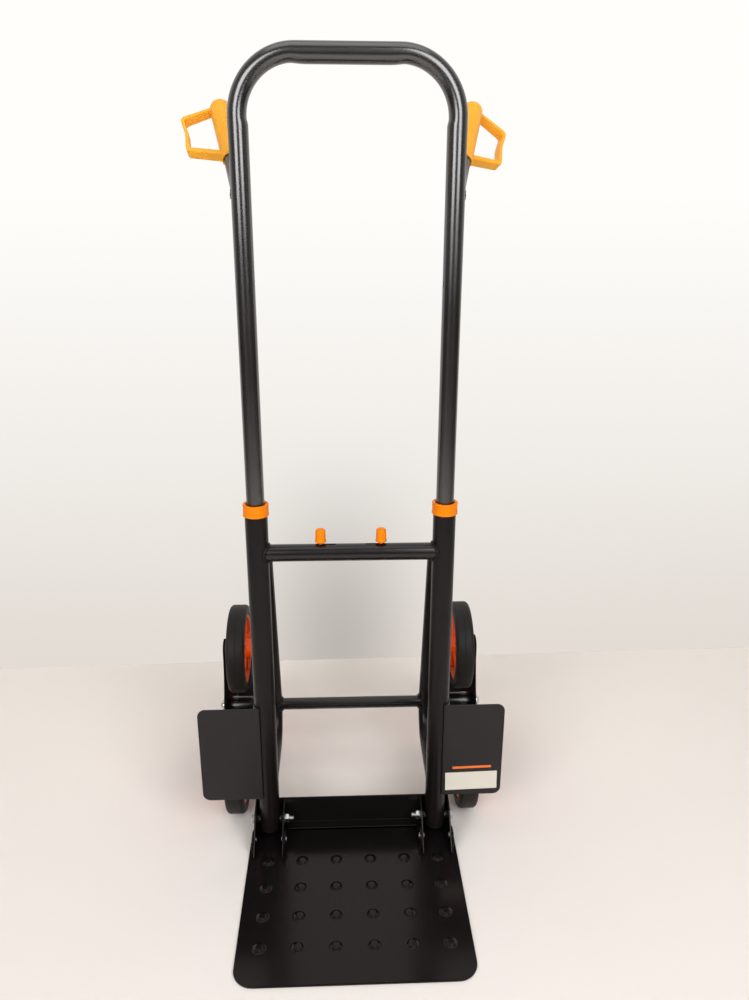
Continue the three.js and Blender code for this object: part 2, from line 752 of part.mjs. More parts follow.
function dimple(x, y) {
  const profile = [
    [0, plateThickness / 2],
    [dimpleRadius, plateThickness / 2],
    [dimpleRadius, plateThickness],
    [dimpleCrown, plateThickness + dimpleHeight],
    [0, plateThickness + dimpleHeight],
  ];
  return turned(profile, place(x, y, 0), axisZ, dimpleSides);
}

function tab(lowX) {
  const outline = roundedShape([
    [rivetY - tabReach, plateThickness / 2, 0],
    [rivetY + tabReach, plateThickness / 2, 0],
    [rivetY + tabReach, rivetZ + tabRise, tabCorner],
    [rivetY - tabReach, rivetZ + tabRise, tabCorner],
  ]);
  const hole = holeX(lowX, lowX + bracketThickness, rivetY, rivetZ, rivetRadius + seatGap);
  return cut(slabAcross(outline, bracketThickness, lowX), hole);
}

// The lower X of a tab or ear, from the X of its face towards the middle on the right side.
const lowFace = (side, x) => (side > 0 ? x : -x - bracketThickness);

// The hinge bracket: a wall behind the tubes, with an ear forward on both sides of each tube. A
// boss on each ear bears on the tube, round the pivot bolt.
function hingeBracket() {
  const wallHalf = outerEarX + bracketThickness;
  const wall = block(-wallHalf, wallHalf, bracketReach, bracketRearY, bracketFootZ, bracketTopZ);
  const outline = roundedShape([
    [bracketRearY, plateTopZ, 0],
    [bracketRearY, bracketTopZ, 0],
    [earTopY, earTopZ, tabCorner],
    [earTipY, earTipZ, 0],
    [earTipY, plateTopZ, 0],
  ]);
  const ears = Object.values(sides).flatMap((side) =>
    [innerEarX, outerEarX].map((x) => slabAcross(outline, bracketThickness, lowFace(side, x))),
  );
  const bosses = Object.values(sides).flatMap((side) => {
    const innerRoot = innerEarX + bracketThickness / 2;
    const outerRoot = outerEarX + bracketThickness / 2;
    const face = lowerTubeRadius + runningGap;
    return [
      barX(side * innerRoot, side * (tubeX - face), 0, pivotZ, earBossRadius, bowSides),
      barX(side * (tubeX + face), side * outerRoot, 0, pivotZ, earBossRadius, bowSides),
    ];
  });
  const pivotHole = holeX(-wallHalf, wallHalf, 0, pivotZ, pivotRadius + seatGap);
  const rivetHole = holeX(-wallHalf, wallHalf, rivetY, rivetZ, rivetRadius + seatGap);
  return cut(join(wall, ...ears, ...bosses), pivotHole, rivetHole);
}

// A hexagon-headed pivot bolt, from outside the outer ear to inside the inner ear.
function pivotBolt(side) {
  const seat = outerEarX + bracketThickness + seatGap;
  const tail = innerEarX - seatGap - pivotNut - pivotTail;
  const shank = barX(side * tail, side * (seat + pivotHead / 2), 0, pivotZ, pivotRadius);
  const head = barX(side * seat, side * (seat + pivotHead), 0, pivotZ, pivotHeadRadius, hexSides);
  return join(shank, head);
}

function pivotNutPiece(side) {
  const seat = innerEarX - seatGap;
  const nut = barX(side * seat, side * (seat - pivotNut), 0, pivotZ, pivotHeadRadius, hexSides);
  const [lowX, highX] = [side * seat, side * (seat - pivotNut)].sort((a, b) => a - b);
  return cut(nut, holeX(lowX, highX, 0, pivotZ, pivotRadius + seatGap));
}

// A rivet through a bracket ear and the toe plate's tab beside it, with a head at each end.
function rivet(lowX, highX) {
  const lowSeat = lowX - seatGap;
  const highSeat = highX + seatGap;
  const shank = barX(lowSeat - rivetHead / 2, highSeat + rivetHead / 2, rivetY, rivetZ, rivetRadius);
  const lowHead = barX(lowSeat - rivetHead, lowSeat, rivetY, rivetZ, rivetHeadRadius);
  const highHead = barX(highSeat, highSeat + rivetHead, rivetY, rivetZ, rivetHeadRadius);
  return join(shank, lowHead, highHead);
}

function addToePlate() {
  addPiece('toe_plate', toePlate(), platePaint);
  addPiece('hinge_bracket', hingeBracket(), platePaint);
  const ranges = {
    inner: [innerTabX, innerEarX + bracketThickness],
    outer: [outerEarX, outerTabX + bracketThickness],
  };
  for (const [name, side] of Object.entries(sides)) {
    addPiece(`${name}_pivot_bolt`, pivotBolt(side), zincPlate);
    addPiece(`${name}_pivot_nut`, pivotNutPiece(side), zincPlate);
    for (const [where, range] of Object.entries(ranges)) {
      const [low, high] = range.map((x) => side * x).sort((a, b) => a - b);
      addPiece(`${name}_${where}_rivet`, rivet(low, high), zincPlate);
    }
  }
}

// The directions of a star's arms: one straight up, the others down to the floor.
const armAngles = Array.from({ length: armCount }, (_, i) => Math.PI / 2 + (2 * Math.PI * i) / armCount);

// A star plate in the YZ plane: round ends about the wheel bolts, joined by hollow sides.
function starPlateSolid(fromX) {
  const shape = new THREE.Shape();
  armAngles.forEach((angle, i) => {
    const y = starRadius * Math.cos(angle);
    const z = starRadius * Math.sin(angle);
    if (i === 0) {
      const startAngle = angle - Math.PI / 2;
      shape.moveTo(y + starArmRadius * Math.cos(startAngle), z + starArmRadius * Math.sin(startAngle));
    }
    shape.absarc(y, z, starArmRadius, angle - Math.PI / 2, angle + Math.PI / 2, false);
    const between = angle + Math.PI / armCount;
    const next = angle + (2 * Math.PI) / armCount;
    const start = next - Math.PI / 2;
    const endY = starRadius * Math.cos(next) + starArmRadius * Math.cos(start);
    const endZ = starRadius * Math.sin(next) + starArmRadius * Math.sin(start);
    shape.quadraticCurveTo(starWaist * Math.cos(between), starWaist * Math.sin(between), endY, endZ);
  });
  const holes = armAngles.map((angle) => {
    const y = starRadius * Math.cos(angle);
    const z = starRadius * Math.sin(angle);
    return holeX(fromX, fromX + starPlate, y, z, wheelBoltRadius + seatGap);
  });
  const bore = holeX(fromX, fromX + starPlate, 0, 0, axleRadius + runningGap, bowSides);
  return cut(slabAcross(shape, starPlate, fromX, bendSteps), bore, ...holes);
}

// The inner star plate carries a boss that keeps it off the bow.
function innerStarPlate() {
  const bossStart = tubeX + bowRadius + runningGap;
  const overlap = starInnerX + starPlate / 2;
  const boss = turned(
    pipeProfile(starBossRadius, axleRadius + runningGap, bossStart, overlap),
    place(0, 0, 0),
    axisX,
    bowSides,
  );
  return join(starPlateSolid(starInnerX), boss);
}

function starHub() {
  const start = starInnerX + starPlate + seatGap;
  const end = start + starSpan - 2 * seatGap;
  const profile = pipeProfile(starHubRadius, axleRadius + runningGap, start, end);
  return turned(profile, place(0, 0, 0), axisX, bowSides);
}

// A wheel bolt with its nut: the head is outside the outer plate, the nut inside the inner one.
function wheelBolt(angle) {
  const y = starRadius * Math.cos(angle);
  const z = starRadius * Math.sin(angle);
  const headSeat = starOuterX + seatGap;
  const nutSeat = starInnerX - seatGap;
  const shank = barX(nutSeat - wheelNut, headSeat + wheelBoltHead / 2, y, z, wheelBoltRadius);
  const head = barX(headSeat, headSeat + wheelBoltHead, y, z, wheelBoltHeadRadius);
  const nut = barX(nutSeat - wheelNut, nutSeat, y, z, wheelNutRadius, hexSides);
  return join(shank, head, nut);
}

// A tyre about its own middle: flat tread, rounded shoulders and a bore that grips the rim.
function tyre() {
  const half = tyreWidth / 2;
  const inner = wheelRadius - tyreDepth;
  const profile = [
    [inner, -half],
    [wheelRadius - tyreShoulder, -half],
    [wheelRadius - tyreShoulder / 3, -half + tyreShoulder / 3],
    [wheelRadius, -half + tyreShoulder],
    [wheelRadius, half - tyreShoulder],
    [wheelRadius - tyreShoulder / 3, half - tyreShoulder / 3],
    [wheelRadius - tyreShoulder, half],
    [inner, half],
    [inner, -half],
  ];
  return turned(profile, place(0, 0, 0), axisX, wheelSides);
}

// A rim: an outer band, a thin web, a long hub that runs on the bolt, and ribs on both faces.
function rim() {
  const outer = wheelRadius - tyreDepth - seatGap;
  const inner = outer - rimLip;
  const hubHalf = starSpan / 2 - runningGap;
  const bore = wheelBoltRadius + runningGap;
  const profile = [
    [bore, -hubHalf],
    [rimHubRadius, -hubHalf],
    [rimHubRadius, -rimWeb / 2],
    [inner, -rimWeb / 2],
    [inner, -rimWidth / 2],
    [outer, -rimWidth / 2],
    [outer, rimWidth / 2],
    [inner, rimWidth / 2],
    [inner, rimWeb / 2],
    [rimHubRadius, rimWeb / 2],
    [rimHubRadius, hubHalf],
    [bore, hubHalf],
    [bore, -hubHalf],
  ];
  const ribs = Array.from({ length: ribCount }, (_, i) => {
    const angle = (2 * Math.PI * i) / ribCount;
    const length = inner - rimHubRadius + rimLip;
    const geometry = new THREE.BoxGeometry(ribDepth, length, ribWidth);
    geometry.translate(0, rimHubRadius - rimLip / 2 + length / 2, 0).rotateX(angle);
    return solidFrom(geometry);
  });
  return join(turned(profile, place(0, 0, 0), axisX, wheelSides), ...ribs);
}

// A star is built for the right side, and turned half round the upright for the left.
function addStar(name, side) {
  const star = new THREE.Group();
  star.position.set(0, axleY, axleZ);
  star.rotation.z = side > 0 ? 0 : Math.PI;
  handTruck.add(star);
  addPiece(`${name}_inner_star_plate`, innerStarPlate(), blackPaint, star);
  addPiece(`${name}_outer_star_plate`, starPlateSolid(starOuterX - starPlate), blackPaint, star);
  addPiece(`${name}_star_hub`, starHub(), blackPaint, star);
  const armNames = ['top', side > 0 ? 'front' : 'rear', side > 0 ? 'rear' : 'front'];
  armAngles.forEach((angle, i) => {
    const wheelName = `${name}_${armNames[i]}`;
    addPiece(`${wheelName}_wheel_bolt`, wheelBolt(angle), blackPaint, star);
    const wheel = new THREE.Group();
    wheel.position.set(wheelMidX, starRadius * Math.cos(angle), starRadius * Math.sin(angle));
    star.add(wheel);
    addPiece(`${wheelName}_tyre`, tyre(), tyreRubber, wheel);
    addPiece(`${wheelName}_rim`, rim(), redOrangePlastic, wheel);
  });
}

addFrame();
addHandle();
addLatches();
addToePlate();
for (const [name, side] of Object.entries(sides)) addStar(name, side);

export default handTruck;
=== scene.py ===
# %% [markdown]
# # A stair climbing hand truck
#
# The real object is a folding steel hand truck. Two main tubes stand on a toe plate that folds up,
# a loop handle slides in the tubes, two bent tubes at the back carry an axle, and a star of three
# wheels at each side walks up steps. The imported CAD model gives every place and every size. This
# lesson dresses it: each piece is a surface worked out with numpy, and each finish is a small
# network of nodes that follows how the real surface was made.
#
# Lengths in this file are in millimetres, and one factor turns them to metres. +Z is up, the toe
# plate reaches towards -Y, and +X is to the right as seen from in front of the toe plate.

import json
import math

import bmesh
import bpy
import numpy as np
from mathutils import Matrix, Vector
from mathutils.geometry import tessellate_polygon

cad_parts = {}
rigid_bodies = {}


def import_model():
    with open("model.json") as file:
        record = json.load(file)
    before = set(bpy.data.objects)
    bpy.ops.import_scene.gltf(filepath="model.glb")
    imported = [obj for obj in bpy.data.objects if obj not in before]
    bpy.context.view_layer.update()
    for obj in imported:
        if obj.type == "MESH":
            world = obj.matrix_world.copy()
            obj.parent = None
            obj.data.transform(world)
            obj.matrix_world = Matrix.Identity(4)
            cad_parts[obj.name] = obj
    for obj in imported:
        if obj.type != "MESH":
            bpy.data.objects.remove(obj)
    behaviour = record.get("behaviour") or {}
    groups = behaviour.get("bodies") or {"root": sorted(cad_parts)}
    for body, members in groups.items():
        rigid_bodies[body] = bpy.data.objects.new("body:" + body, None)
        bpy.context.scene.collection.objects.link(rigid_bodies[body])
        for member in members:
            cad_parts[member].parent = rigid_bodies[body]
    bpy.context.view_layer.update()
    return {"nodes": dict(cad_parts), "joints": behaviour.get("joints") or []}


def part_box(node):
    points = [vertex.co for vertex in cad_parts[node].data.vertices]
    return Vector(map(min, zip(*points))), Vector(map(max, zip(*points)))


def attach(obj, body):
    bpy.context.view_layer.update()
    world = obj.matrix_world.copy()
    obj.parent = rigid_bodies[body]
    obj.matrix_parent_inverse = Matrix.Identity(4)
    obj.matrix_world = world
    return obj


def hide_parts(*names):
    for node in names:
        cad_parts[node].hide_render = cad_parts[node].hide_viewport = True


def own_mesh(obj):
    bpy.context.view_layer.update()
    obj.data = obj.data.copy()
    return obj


for leftover in list(bpy.data.objects):
    bpy.data.objects.remove(leftover)
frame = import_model()

# %% [markdown]
# ## Places from the frame
#
# A dressed piece has to sit exactly where the CAD piece sits, or it would float or cut through its
# neighbour. Typing the places again would work once, and fail at the first change of the model. So
# the places are read from the boxes of the CAD nodes, and only small details get numbers of their
# own further down.

# %% Places from the frame
MM = 0.001
SIDES = {"left": -1, "right": 1}


def span(node):
    """The lowest and the highest corner of a CAD node, in millimetres."""
    low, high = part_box(node)
    return np.array(low) / MM, np.array(high) / MM


def middle(node):
    """Half way between a CAD node's two corners, in millimetres."""
    low, high = span(node)
    return (low + high) / 2


def half_size(node):
    """Half of a CAD node's size along each axis, in millimetres."""
    low, high = span(node)
    return (high - low) / 2


def near_far(node):
    """How near to the middle plane a CAD node of one side begins, and how far out it ends."""
    return sorted(np.abs([corner[0] for corner in span(node)]))


def joint(name):
    """A joint of the frame, by its name."""
    return next(j for j in frame["joints"] if j["name"] == name)


tube_x = middle("right_lower_tube")[0]
tube_radius = half_size("right_lower_tube")[0]
tube_foot, tube_top = (corner[2] for corner in span("right_lower_tube"))
handle_low, handle_high = span("handle_tube")
handle_radius = handle_high[0] - tube_x
handle_foot, handle_top = handle_low[2], handle_high[2] - handle_radius
crossbar_z = middle("crossbar")[2]
crossbar_radius = half_size("crossbar")[2]
axle = middle("axle_rod")
cross_radius = half_size("cross_tube")[2]
bow_low, bow_high = span("right_rear_bow")
bow_radius = bow_high[0] - tube_x
bow_foot, bow_top = bow_low[2] + bow_radius, bow_high[2] - bow_radius
pivot_z = middle("right_pivot_bolt")[2]
wall = 1.5  # of every steel tube
play = 0.3  # between neighbours, as in the CAD model
sink = 0.6  # how far the end of a welded tube is let into its host
sheet_side = 2.5  # thickness of the bracket, the tabs and the lip
print("main tubes at x", tube_x, "radius", tube_radius, "from", tube_foot, "to", tube_top)
print("crossbar at z", crossbar_z, "axle at", axle.round(2), "bows from", bow_foot, "to", bow_top)

# %% [markdown]
# ## Surfaces on a grid
#
# Nearly every piece here is a tube, a turned shape or a flat plate. Blender could make them from
# its own primitives, but then a saddle cut or a dent has nowhere to go. A surface that is worked
# out on a grid of two parameters has a point for every place, so a formula can move each of them.

# %% Surfaces on a grid
ROUND = 48  # sides of a large round
SMALL = 32  # sides of a small round
ACROSS = ((0, 1, 0), (0, 0, 1), (1, 0, 0))  # outlines in Y and Z, thickness along X
FACING = ((1, 0, 0), (0, 0, 1), (0, -1, 0))  # outlines in X and Z, thickness towards the front


def unit(vectors):
    """Each vector divided by its length."""
    vectors = np.asarray(vectors, float)
    return vectors / np.linalg.norm(vectors, axis=-1, keepdims=True)


def smooth_step(values):
    """Values held between 0 and 1, then 3 times the square less 2 times the cube."""
    share = np.clip(values, 0, 1)
    return share * share * (3 - 2 * share)


def grid(points, close_rows=False, close_columns=True):
    """One surface from rows and columns of points: each point is joined to its neighbours by
    four-sided faces, and a closed direction also joins its last point to its first."""
    rows, columns = points.shape[:2]
    number = np.arange(rows * columns).reshape(rows, columns)
    if close_rows:
        number = np.vstack([number, number[:1]])
    if close_columns:
        number = np.hstack([number, number[:, :1]])
    corners = [number[:-1, :-1], number[:-1, 1:], number[1:, 1:], number[1:, :-1]]
    return points.reshape(-1, 3), [np.stack(corners, axis=-1).reshape(-1, 4)]


def rectangle(low, high):
    """The four corners between a lowest and a highest corner."""
    return [(low[0], low[1]), (high[0], low[1]), (high[0], high[1]), (low[0], high[1])]


def circle(y, z, radius):
    """Points round a circle."""
    angles = np.linspace(0, 2 * np.pi, SMALL, endpoint=False)
    return np.stack([y + radius * np.cos(angles), z + radius * np.sin(angles)], axis=-1)


def rounded(corners, radii, closed=True, steps=6):
    """A line through corners with an arc at each: the arc leaves each side at radius times the
    tangent of half the turn, and swings about a centre that is one radius inside."""
    corners = np.asarray(corners, float)
    radii = np.broadcast_to(np.asarray(radii, float), len(corners))
    out = []
    for i, corner in enumerate(corners):
        if not closed and i in (0, len(corners) - 1) or radii[i] == 0:
            out.append(corner[None])
            continue
        before = unit(corner - corners[i - 1])
        after = unit(corners[(i + 1) % len(corners)] - corner)
        turn = math.acos(np.clip(before @ after, -1, 1))
        if turn < 1e-4:
            out.append(corner[None])
            continue
        inward = unit(after - before * (before @ after))
        start = corner - before * radii[i] * math.tan(turn / 2)
        angles = np.linspace(0, turn, steps + 1)[:, None]
        swing = before * np.sin(angles) - inward * np.cos(angles)
        out.append(start + radii[i] * (inward + swing))
    return np.concatenate(out)


def looped(corners, radii, steps=6):
    """A rounded profile that ends where it began, so that it turns into a closed ring."""
    profile = rounded(corners, radii, steps=steps)
    return np.concatenate([profile, profile[:1]])


def across(direction):
    """Two directions at right angles to a given one and to each other."""
    direction = unit(direction)
    helper = np.array([0, 0, 1.0]) if abs(direction[2]) < 0.7 else np.array([1.0, 0, 0])
    first = unit(np.cross(helper, direction))
    return first, np.cross(direction, first)


def ring_about(direction, sides):
    """The angles round a direction, and an arm at each: the cosine times one side way, plus the
    sine times the other."""
    first, second = across(direction)
    angles = np.linspace(0, 2 * np.pi, sides, endpoint=False)[:, None]
    return angles, np.cos(angles) * first + np.sin(angles) * second


def turned(profile, base, direction, sides=ROUND):
    """A profile of (radius, distance) pairs turned about a line: the base, plus the distance along
    the line, plus the radius times each arm."""
    profile = np.asarray(profile, float)
    ring = ring_about(direction, sides)[1]
    centres = np.asarray(base, float) + profile[:, 1:] * unit(direction)
    return grid(centres[:, None] + profile[:, :1, None] * ring)


def slab(outline, low, high, holes=(), axes=((1, 0, 0), (0, 1, 0), (0, 0, 1))):
    """A flat outline given thickness: a lid at the low and at the high distance along the third
    axis, and a wall along each loop. Holes need lids cut into triangles."""
    loops = [np.asarray(loop, float) for loop in (outline, *holes)]
    flat = np.concatenate(loops)
    count = len(flat)
    if holes:
        lid = np.array(tessellate_polygon([[(*point, 0) for point in loop] for loop in loops]))
    else:
        lid = np.arange(count)[None]
    walls, start = [], 0
    for loop in loops:
        here = start + np.arange(len(loop))
        ahead = start + (np.arange(len(loop)) + 1) % len(loop)
        walls.append(np.stack([here, ahead, ahead + count, here + count], axis=-1))
        start += len(loop)
    first, second, third = np.asarray(axes, float)
    plane = flat[:, :1] * first + flat[:, 1:] * second
    points = np.concatenate([plane + low * third, plane + high * third])
    return points, [lid, lid + count, np.concatenate(walls)]


# %% [markdown]
# ## Tubes and saddle cuts
#
# A steel tube is a wall between two rounds. Where one tube is welded to another, its end is cut to
# a saddle so that it sits on the other tube all round. A Boolean could cut it, but it leaves long
# thin faces that catch the light. Moving the last ring of points along the tube until each of them
# touches the other tube gives the same saddle with clean faces.

# %% Tubes and saddle cuts


def meet(points, direction, host):
    """Points moved along a direction until they lie on an upright round host, given as (x, y,
    radius). Seen in plan, the shift is the larger root of |point + shift * way - host| = radius."""
    host = np.asarray(host, float)
    offset = points[..., :2] - host[:2]
    way = np.asarray(direction, float)[:2]
    a, b = way @ way, offset @ way
    c = (offset**2).sum(-1) - host[2] ** 2
    shift = (-b + np.sqrt(b * b - a * c)) / a
    return points + shift[..., None] * direction


def tube(path, side_way, outer, sides=ROUND, hosts=(None, None), shape=None):
    """A round tube along a path in one plane: rings forwards along the outside and back along the
    bore, joined at both ends. Each ring is its centre plus the radius times (cosine times the side
    way, sine times the way out of the bend). Shape scales the rings, and hosts cut the ends."""
    steps = unit(np.diff(path, axis=0))
    ahead = unit(np.concatenate([steps[:1], steps[:-1] + steps[1:], steps[-1:]]))
    outward = unit(np.cross(ahead, side_way))
    angles = np.linspace(0, 2 * np.pi, sides, endpoint=False)
    arms = np.cos(angles)[:, None] * unit(side_way) + np.sin(angles)[:, None] * outward[:, None]
    scale = np.ones((len(path), sides)) if shape is None else shape(path, angles)
    skins = [path[:, None] + radius * scale[..., None] * arms for radius in (outer, outer - wall)]
    points = np.concatenate([skins[0], skins[1][::-1]])
    ends = ([0, -1], [len(path) - 1, len(path)])
    for host, rows, way in zip(hosts, ends, (ahead[0], -ahead[-1])):
        if host is not None:
            points[rows] = meet(points[rows] - way * outer, way, host)
    return grid(points, close_rows=True)


def straight_bar(start, end, outer, start_host, end_host, rows=12, sides=ROUND):
    """A straight tube between two upright hosts: its rings are spread evenly between the two
    saddle curves, so that no ring bunches up."""
    start, end = np.asarray(start, float), np.asarray(end, float)
    way = unit(end - start)
    ring = ring_about(way, sides)[1]
    share = np.linspace(0, 1, rows)[:, None, None]
    skins = []
    for radius in (outer, outer - wall):
        low, high = start + radius * ring, end + radius * ring
        low = meet(low, way, start_host) if start_host else low
        high = meet(high, -way, end_host) if end_host else high
        skins.append(low + share * (high - low))
    return grid(np.concatenate([skins[0], skins[1][::-1]]), close_rows=True)


bead_depth = 1.2  # how deep a weld may reach into its host, which is less than the host's wall


def weld(base, direction, radius, host, size=2.2):
    """A weld bead where a bar from a base meets an upright host: a small round carried along the
    saddle curve, with ripples from the weld pool, about three millimetres apart. Points deeper in
    the host than most of its wall are moved straight out, so that the host's bore stays clear."""
    angles, ring = ring_about(direction, 96)
    curve = meet(np.asarray(base, float) + radius * ring, unit(direction), host)
    ripples = round(2 * math.pi * radius / 3)
    thick = size * (1 + 0.12 * np.cos(ripples * angles) + 0.1 * np.cos(2 * angles + 1))
    turns = np.linspace(0, 2 * np.pi, 12, endpoint=False)[:, None]
    arm = np.cos(turns) * ring[:, None] + np.sin(turns) * unit(direction)
    points = curve[:, None] + thick[:, None] * arm
    offset = points[..., :2] - np.asarray(host[:2])
    distance = np.linalg.norm(offset, axis=-1, keepdims=True)
    kept = np.maximum(distance, host[2] - bead_depth)
    points[..., :2] = np.asarray(host[:2]) + offset * kept / distance
    return grid(points, close_rows=True)


# %% [markdown]
# ## From surfaces to pieces
#
# A piece is one Blender object made of one or more surfaces. Its mesh holds its real place, the
# object itself stays at the origin, and it rides on the CAD body that carries the real piece.
# Points that fall together are merged, so seams and poles are closed, and then the faces are
# turned outwards. Edges sharper than a given angle stay sharp, and the others are shaded smooth.

# %% From surfaces to pieces


def settle(mesh, sharp):
    """Merges doubled points, turns the faces outwards and sets which edges look sharp."""
    work = bmesh.new()
    work.from_mesh(mesh)
    bmesh.ops.remove_doubles(work, verts=work.verts, dist=0.005 * MM)
    bmesh.ops.recalc_face_normals(work, faces=work.faces)
    work.to_mesh(mesh)
    work.free()
    mesh.polygons.foreach_set("use_smooth", np.ones(len(mesh.polygons), bool))
    mesh.set_sharp_from_angle(angle=math.radians(sharp))


def in_scene(name, data, place=None):
    """An object that shows the given data, at a place given as a matrix."""
    thing = bpy.data.objects.new(name, data)
    bpy.context.scene.collection.objects.link(thing)
    if place is not None:
        thing.matrix_world = Matrix(place.tolist())
    return thing


def mesh_object(name, surfaces, sharp=35):
    """An object whose mesh is the given surfaces, in metres."""
    points = np.concatenate([part for part, _ in surfaces]) * MM
    faces, start = [], 0
    for part, groups in surfaces:
        for group in groups:
            faces.extend((np.asarray(group) + start).tolist())
        start += len(part)
    mesh = bpy.data.meshes.new(name)
    mesh.from_pydata(points, [], faces)
    settle(mesh, sharp)
    return in_scene(name, mesh)


def round_off(thing, width, segments=2, angle=40):
    """A Bevel on the sharp edges. Real sheet and cast edges are never quite sharp, and the narrow
    round is what catches the light."""
    bevel = thing.modifiers.new("round_off", "BEVEL")
    bevel.width = width * MM
    bevel.segments = segments
    bevel.limit_method = "ANGLE"
    bevel.angle_limit = math.radians(angle)
    bevel.use_clamp_overlap = False
    bevel.harden_normals = True
    return thing


def made_final(thing, sharp=35):
    """The object with its modifiers worked into its mesh."""
    graph = bpy.context.evaluated_depsgraph_get()
    mesh = bpy.data.meshes.new_from_object(thing.evaluated_get(graph))
    thing.modifiers.clear()
    thing.data = mesh
    settle(mesh, sharp)
    return thing


def punched(thing, tools):
    """The object with the tools' volumes taken out of it."""
    for tool in tools:
        cut = thing.modifiers.new("punch", "BOOLEAN")
        cut.operation = "DIFFERENCE"
        cut.solver = "EXACT"
        cut.object = tool
    made_final(thing)
    for tool in tools:
        bpy.data.objects.remove(tool)
    return thing


FINISH = {}


def dress(thing, body, slot, *nodes):
    """Gives a piece its finish and its place in the model: what it rides on and stands for."""
    thing.data.materials.clear()
    thing.data.materials.append(FINISH[slot])
    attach(thing, body)
    if nodes:
        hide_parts(*nodes)
    return thing


def piece(name, surfaces, body, slot, *nodes, sharp=35):
    """Surfaces made into an object and dressed."""
    return dress(mesh_object(name, surfaces, sharp), body, slot, *nodes)


# %% [markdown]
# ## Finishes
#
# Each finish is named for the real one. Its base is the measured look of that material: colour,
# roughness and whether it is metal. Noise at a real grain size then breaks the surface up, because
# nothing real has the same gloss all over. The noise reads Object coordinates, which are metres in
# the frame, so a grain of 1 mm is a noise scale of about 1000.

# %% Finishes
PATCH = 90  # millimetres across a patch of slightly different colour
LOOK = {"ior": "IOR", "level": "Specular IOR Level", "tint": "Specular Tint", "metal": "Metallic"}


def linear(hex_colour):
    """An sRGB hex colour as linear red, green and blue, with full opacity."""
    values = [int(hex_colour[i : i + 2], 16) / 255 for i in (1, 3, 5)]
    return [v / 12.92 if v <= 0.04045 else ((v + 0.055) / 1.055) ** 2.4 for v in values] + [1]


def add(tree, kind, links=(), out=0, **settings):
    """One output of a new node with its settings, and its links given as (socket, other socket or
    value)."""
    made = tree.nodes.new("ShaderNode" + kind)
    for name, value in settings.items():
        setattr(made, name, value)
    for socket, value in links:
        if isinstance(value, bpy.types.NodeSocket):
            tree.links.new(value, made.inputs[socket])
        else:
            made.inputs[socket].default_value = value
    return made.outputs[out]


def blend(tree, share, first, second):
    """A colour between two hex colours."""
    links = [(0, share), (6, linear(first)), (7, linear(second))]
    return add(tree, "Mix", links, out=2, data_type="RGBA")


def remap(tree, value, start, end, low, high, way="LINEAR"):
    """A value from one range to another: low at the start and before, high at the end and after."""
    links = [("Value", value), ("From Min", start), ("From Max", end)]
    links += [("To Min", low), ("To Max", high)]
    return add(tree, "MapRange", links, interpolation_type=way)


def finish(slot, name, colours, grain, rough, bump, record=None, **look):
    """A finish whose colour and roughness drift over patches, between two hex colours and two
    values, and whose height follows a fine grain. Grain is in millimetres, and bump is (height in
    millimetres, strength)."""
    made = bpy.data.materials.new(name)
    made.use_nodes = True
    tree = made.node_tree
    shader = tree.nodes["Principled BSDF"]
    for key, value in look.items():
        shader.inputs[LOOK[key]].default_value = value
    place = add(tree, "TexCoord", out="Object")
    patch = add(tree, "TexNoise", [("Vector", place), ("Scale", 1 / (PATCH * MM)), ("Detail", 3)])
    fine = add(tree, "TexNoise", [("Vector", place), ("Scale", 1 / (grain * MM)), ("Detail", 2)])
    relief = [("Height", fine), ("Distance", bump[0] * MM), ("Strength", bump[1])]
    tree.links.new(blend(tree, patch, *colours.split()), shader.inputs["Base Color"])
    tree.links.new(remap(tree, patch, 0.3, 0.7, *rough), shader.inputs["Roughness"])
    tree.links.new(add(tree, "Bump", relief), shader.inputs["Normal"])
    FINISH[slot] = made


# Black powder coat on the steel: baked plastic powder, nearly black, whose surface keeps a faint
# orange peel of about 4 mm. The handle's coat is the glossiest, the crossbar's is between, and the
# stars' sheet took a thin and matt coat.
steel = {"grain": 4.0, "bump": (0.015, 0.08), "ior": 1.5}
black = "#100d0d #181413"
finish("frame_paint", "black_powder_coat", black, rough=(0.27, 0.33), level=0.2, **steel)
finish(
    "gloss_paint", "glossy_black_powder_coat", "#110e0e #191514", rough=(0.2, 0.25), level=1.0,
    record="frame_paint", **steel | {"ior": 1.62},
)
finish(
    "semi_gloss_paint", "semi_gloss_black_powder_coat", black, rough=(0.2, 0.25), level=0.5,
    record="frame_paint", **steel,
)
finish(
    "matt_paint", "matt_black_powder_coat", "#0d0b0a #13100f", rough=(0.5, 0.6), level=0.05,
    record="frame_paint", **steel,
)

# The toe plate has a smoother powder, a little browner, which mirrors the tubes that stand on it.
finish(
    "plate_paint", "satin_powder_coat", "#100e0e #161313", 1.4, (0.15, 0.21), (0.02, 0.1),
    ior=1.5, level=0.22, tint=(1.0, 0.84, 0.79, 1.0),
)

# Moulded polypropylene: coloured right through, slightly glossy, with the faint texture of a
# spark-eroded mould. The grips are the same plastic: their lighter orange is painted light, standing
# in for the stronger light that falls on them up near the lamps.
moulded = {"rough": (0.36, 0.46), "ior": 1.49}
finish(
    "orange_plastic", "moulded_orange_polypropylene", "#ee7c00 #f68800", 0.9, bump=(0.02, 0.12),
    level=0.16, **moulded,
)
finish(
    "grip_plastic", "moulded_orange_polypropylene_painted_lighter", "#fbaa22 #ffb52c", 2.2, bump=(0.006, 0.05),
    level=0.35, record="orange_plastic", **moulded,
)
finish(
    "wheel_plastic", "moulded_red_orange_polypropylene", "#ec4f00 #fa5d00", 0.9, bump=(0.02, 0.15),
    level=0.4, **moulded,
)

# Thermoplastic rubber: dark grey, matt, with a dusty bloom that drifts over it.
finish(
    "tyre_rubber", "thermoplastic_rubber", "#15120f #211d19", 1.1, (0.48, 0.62), (0.06, 0.3),
    ior=1.5, level=0.25,
)
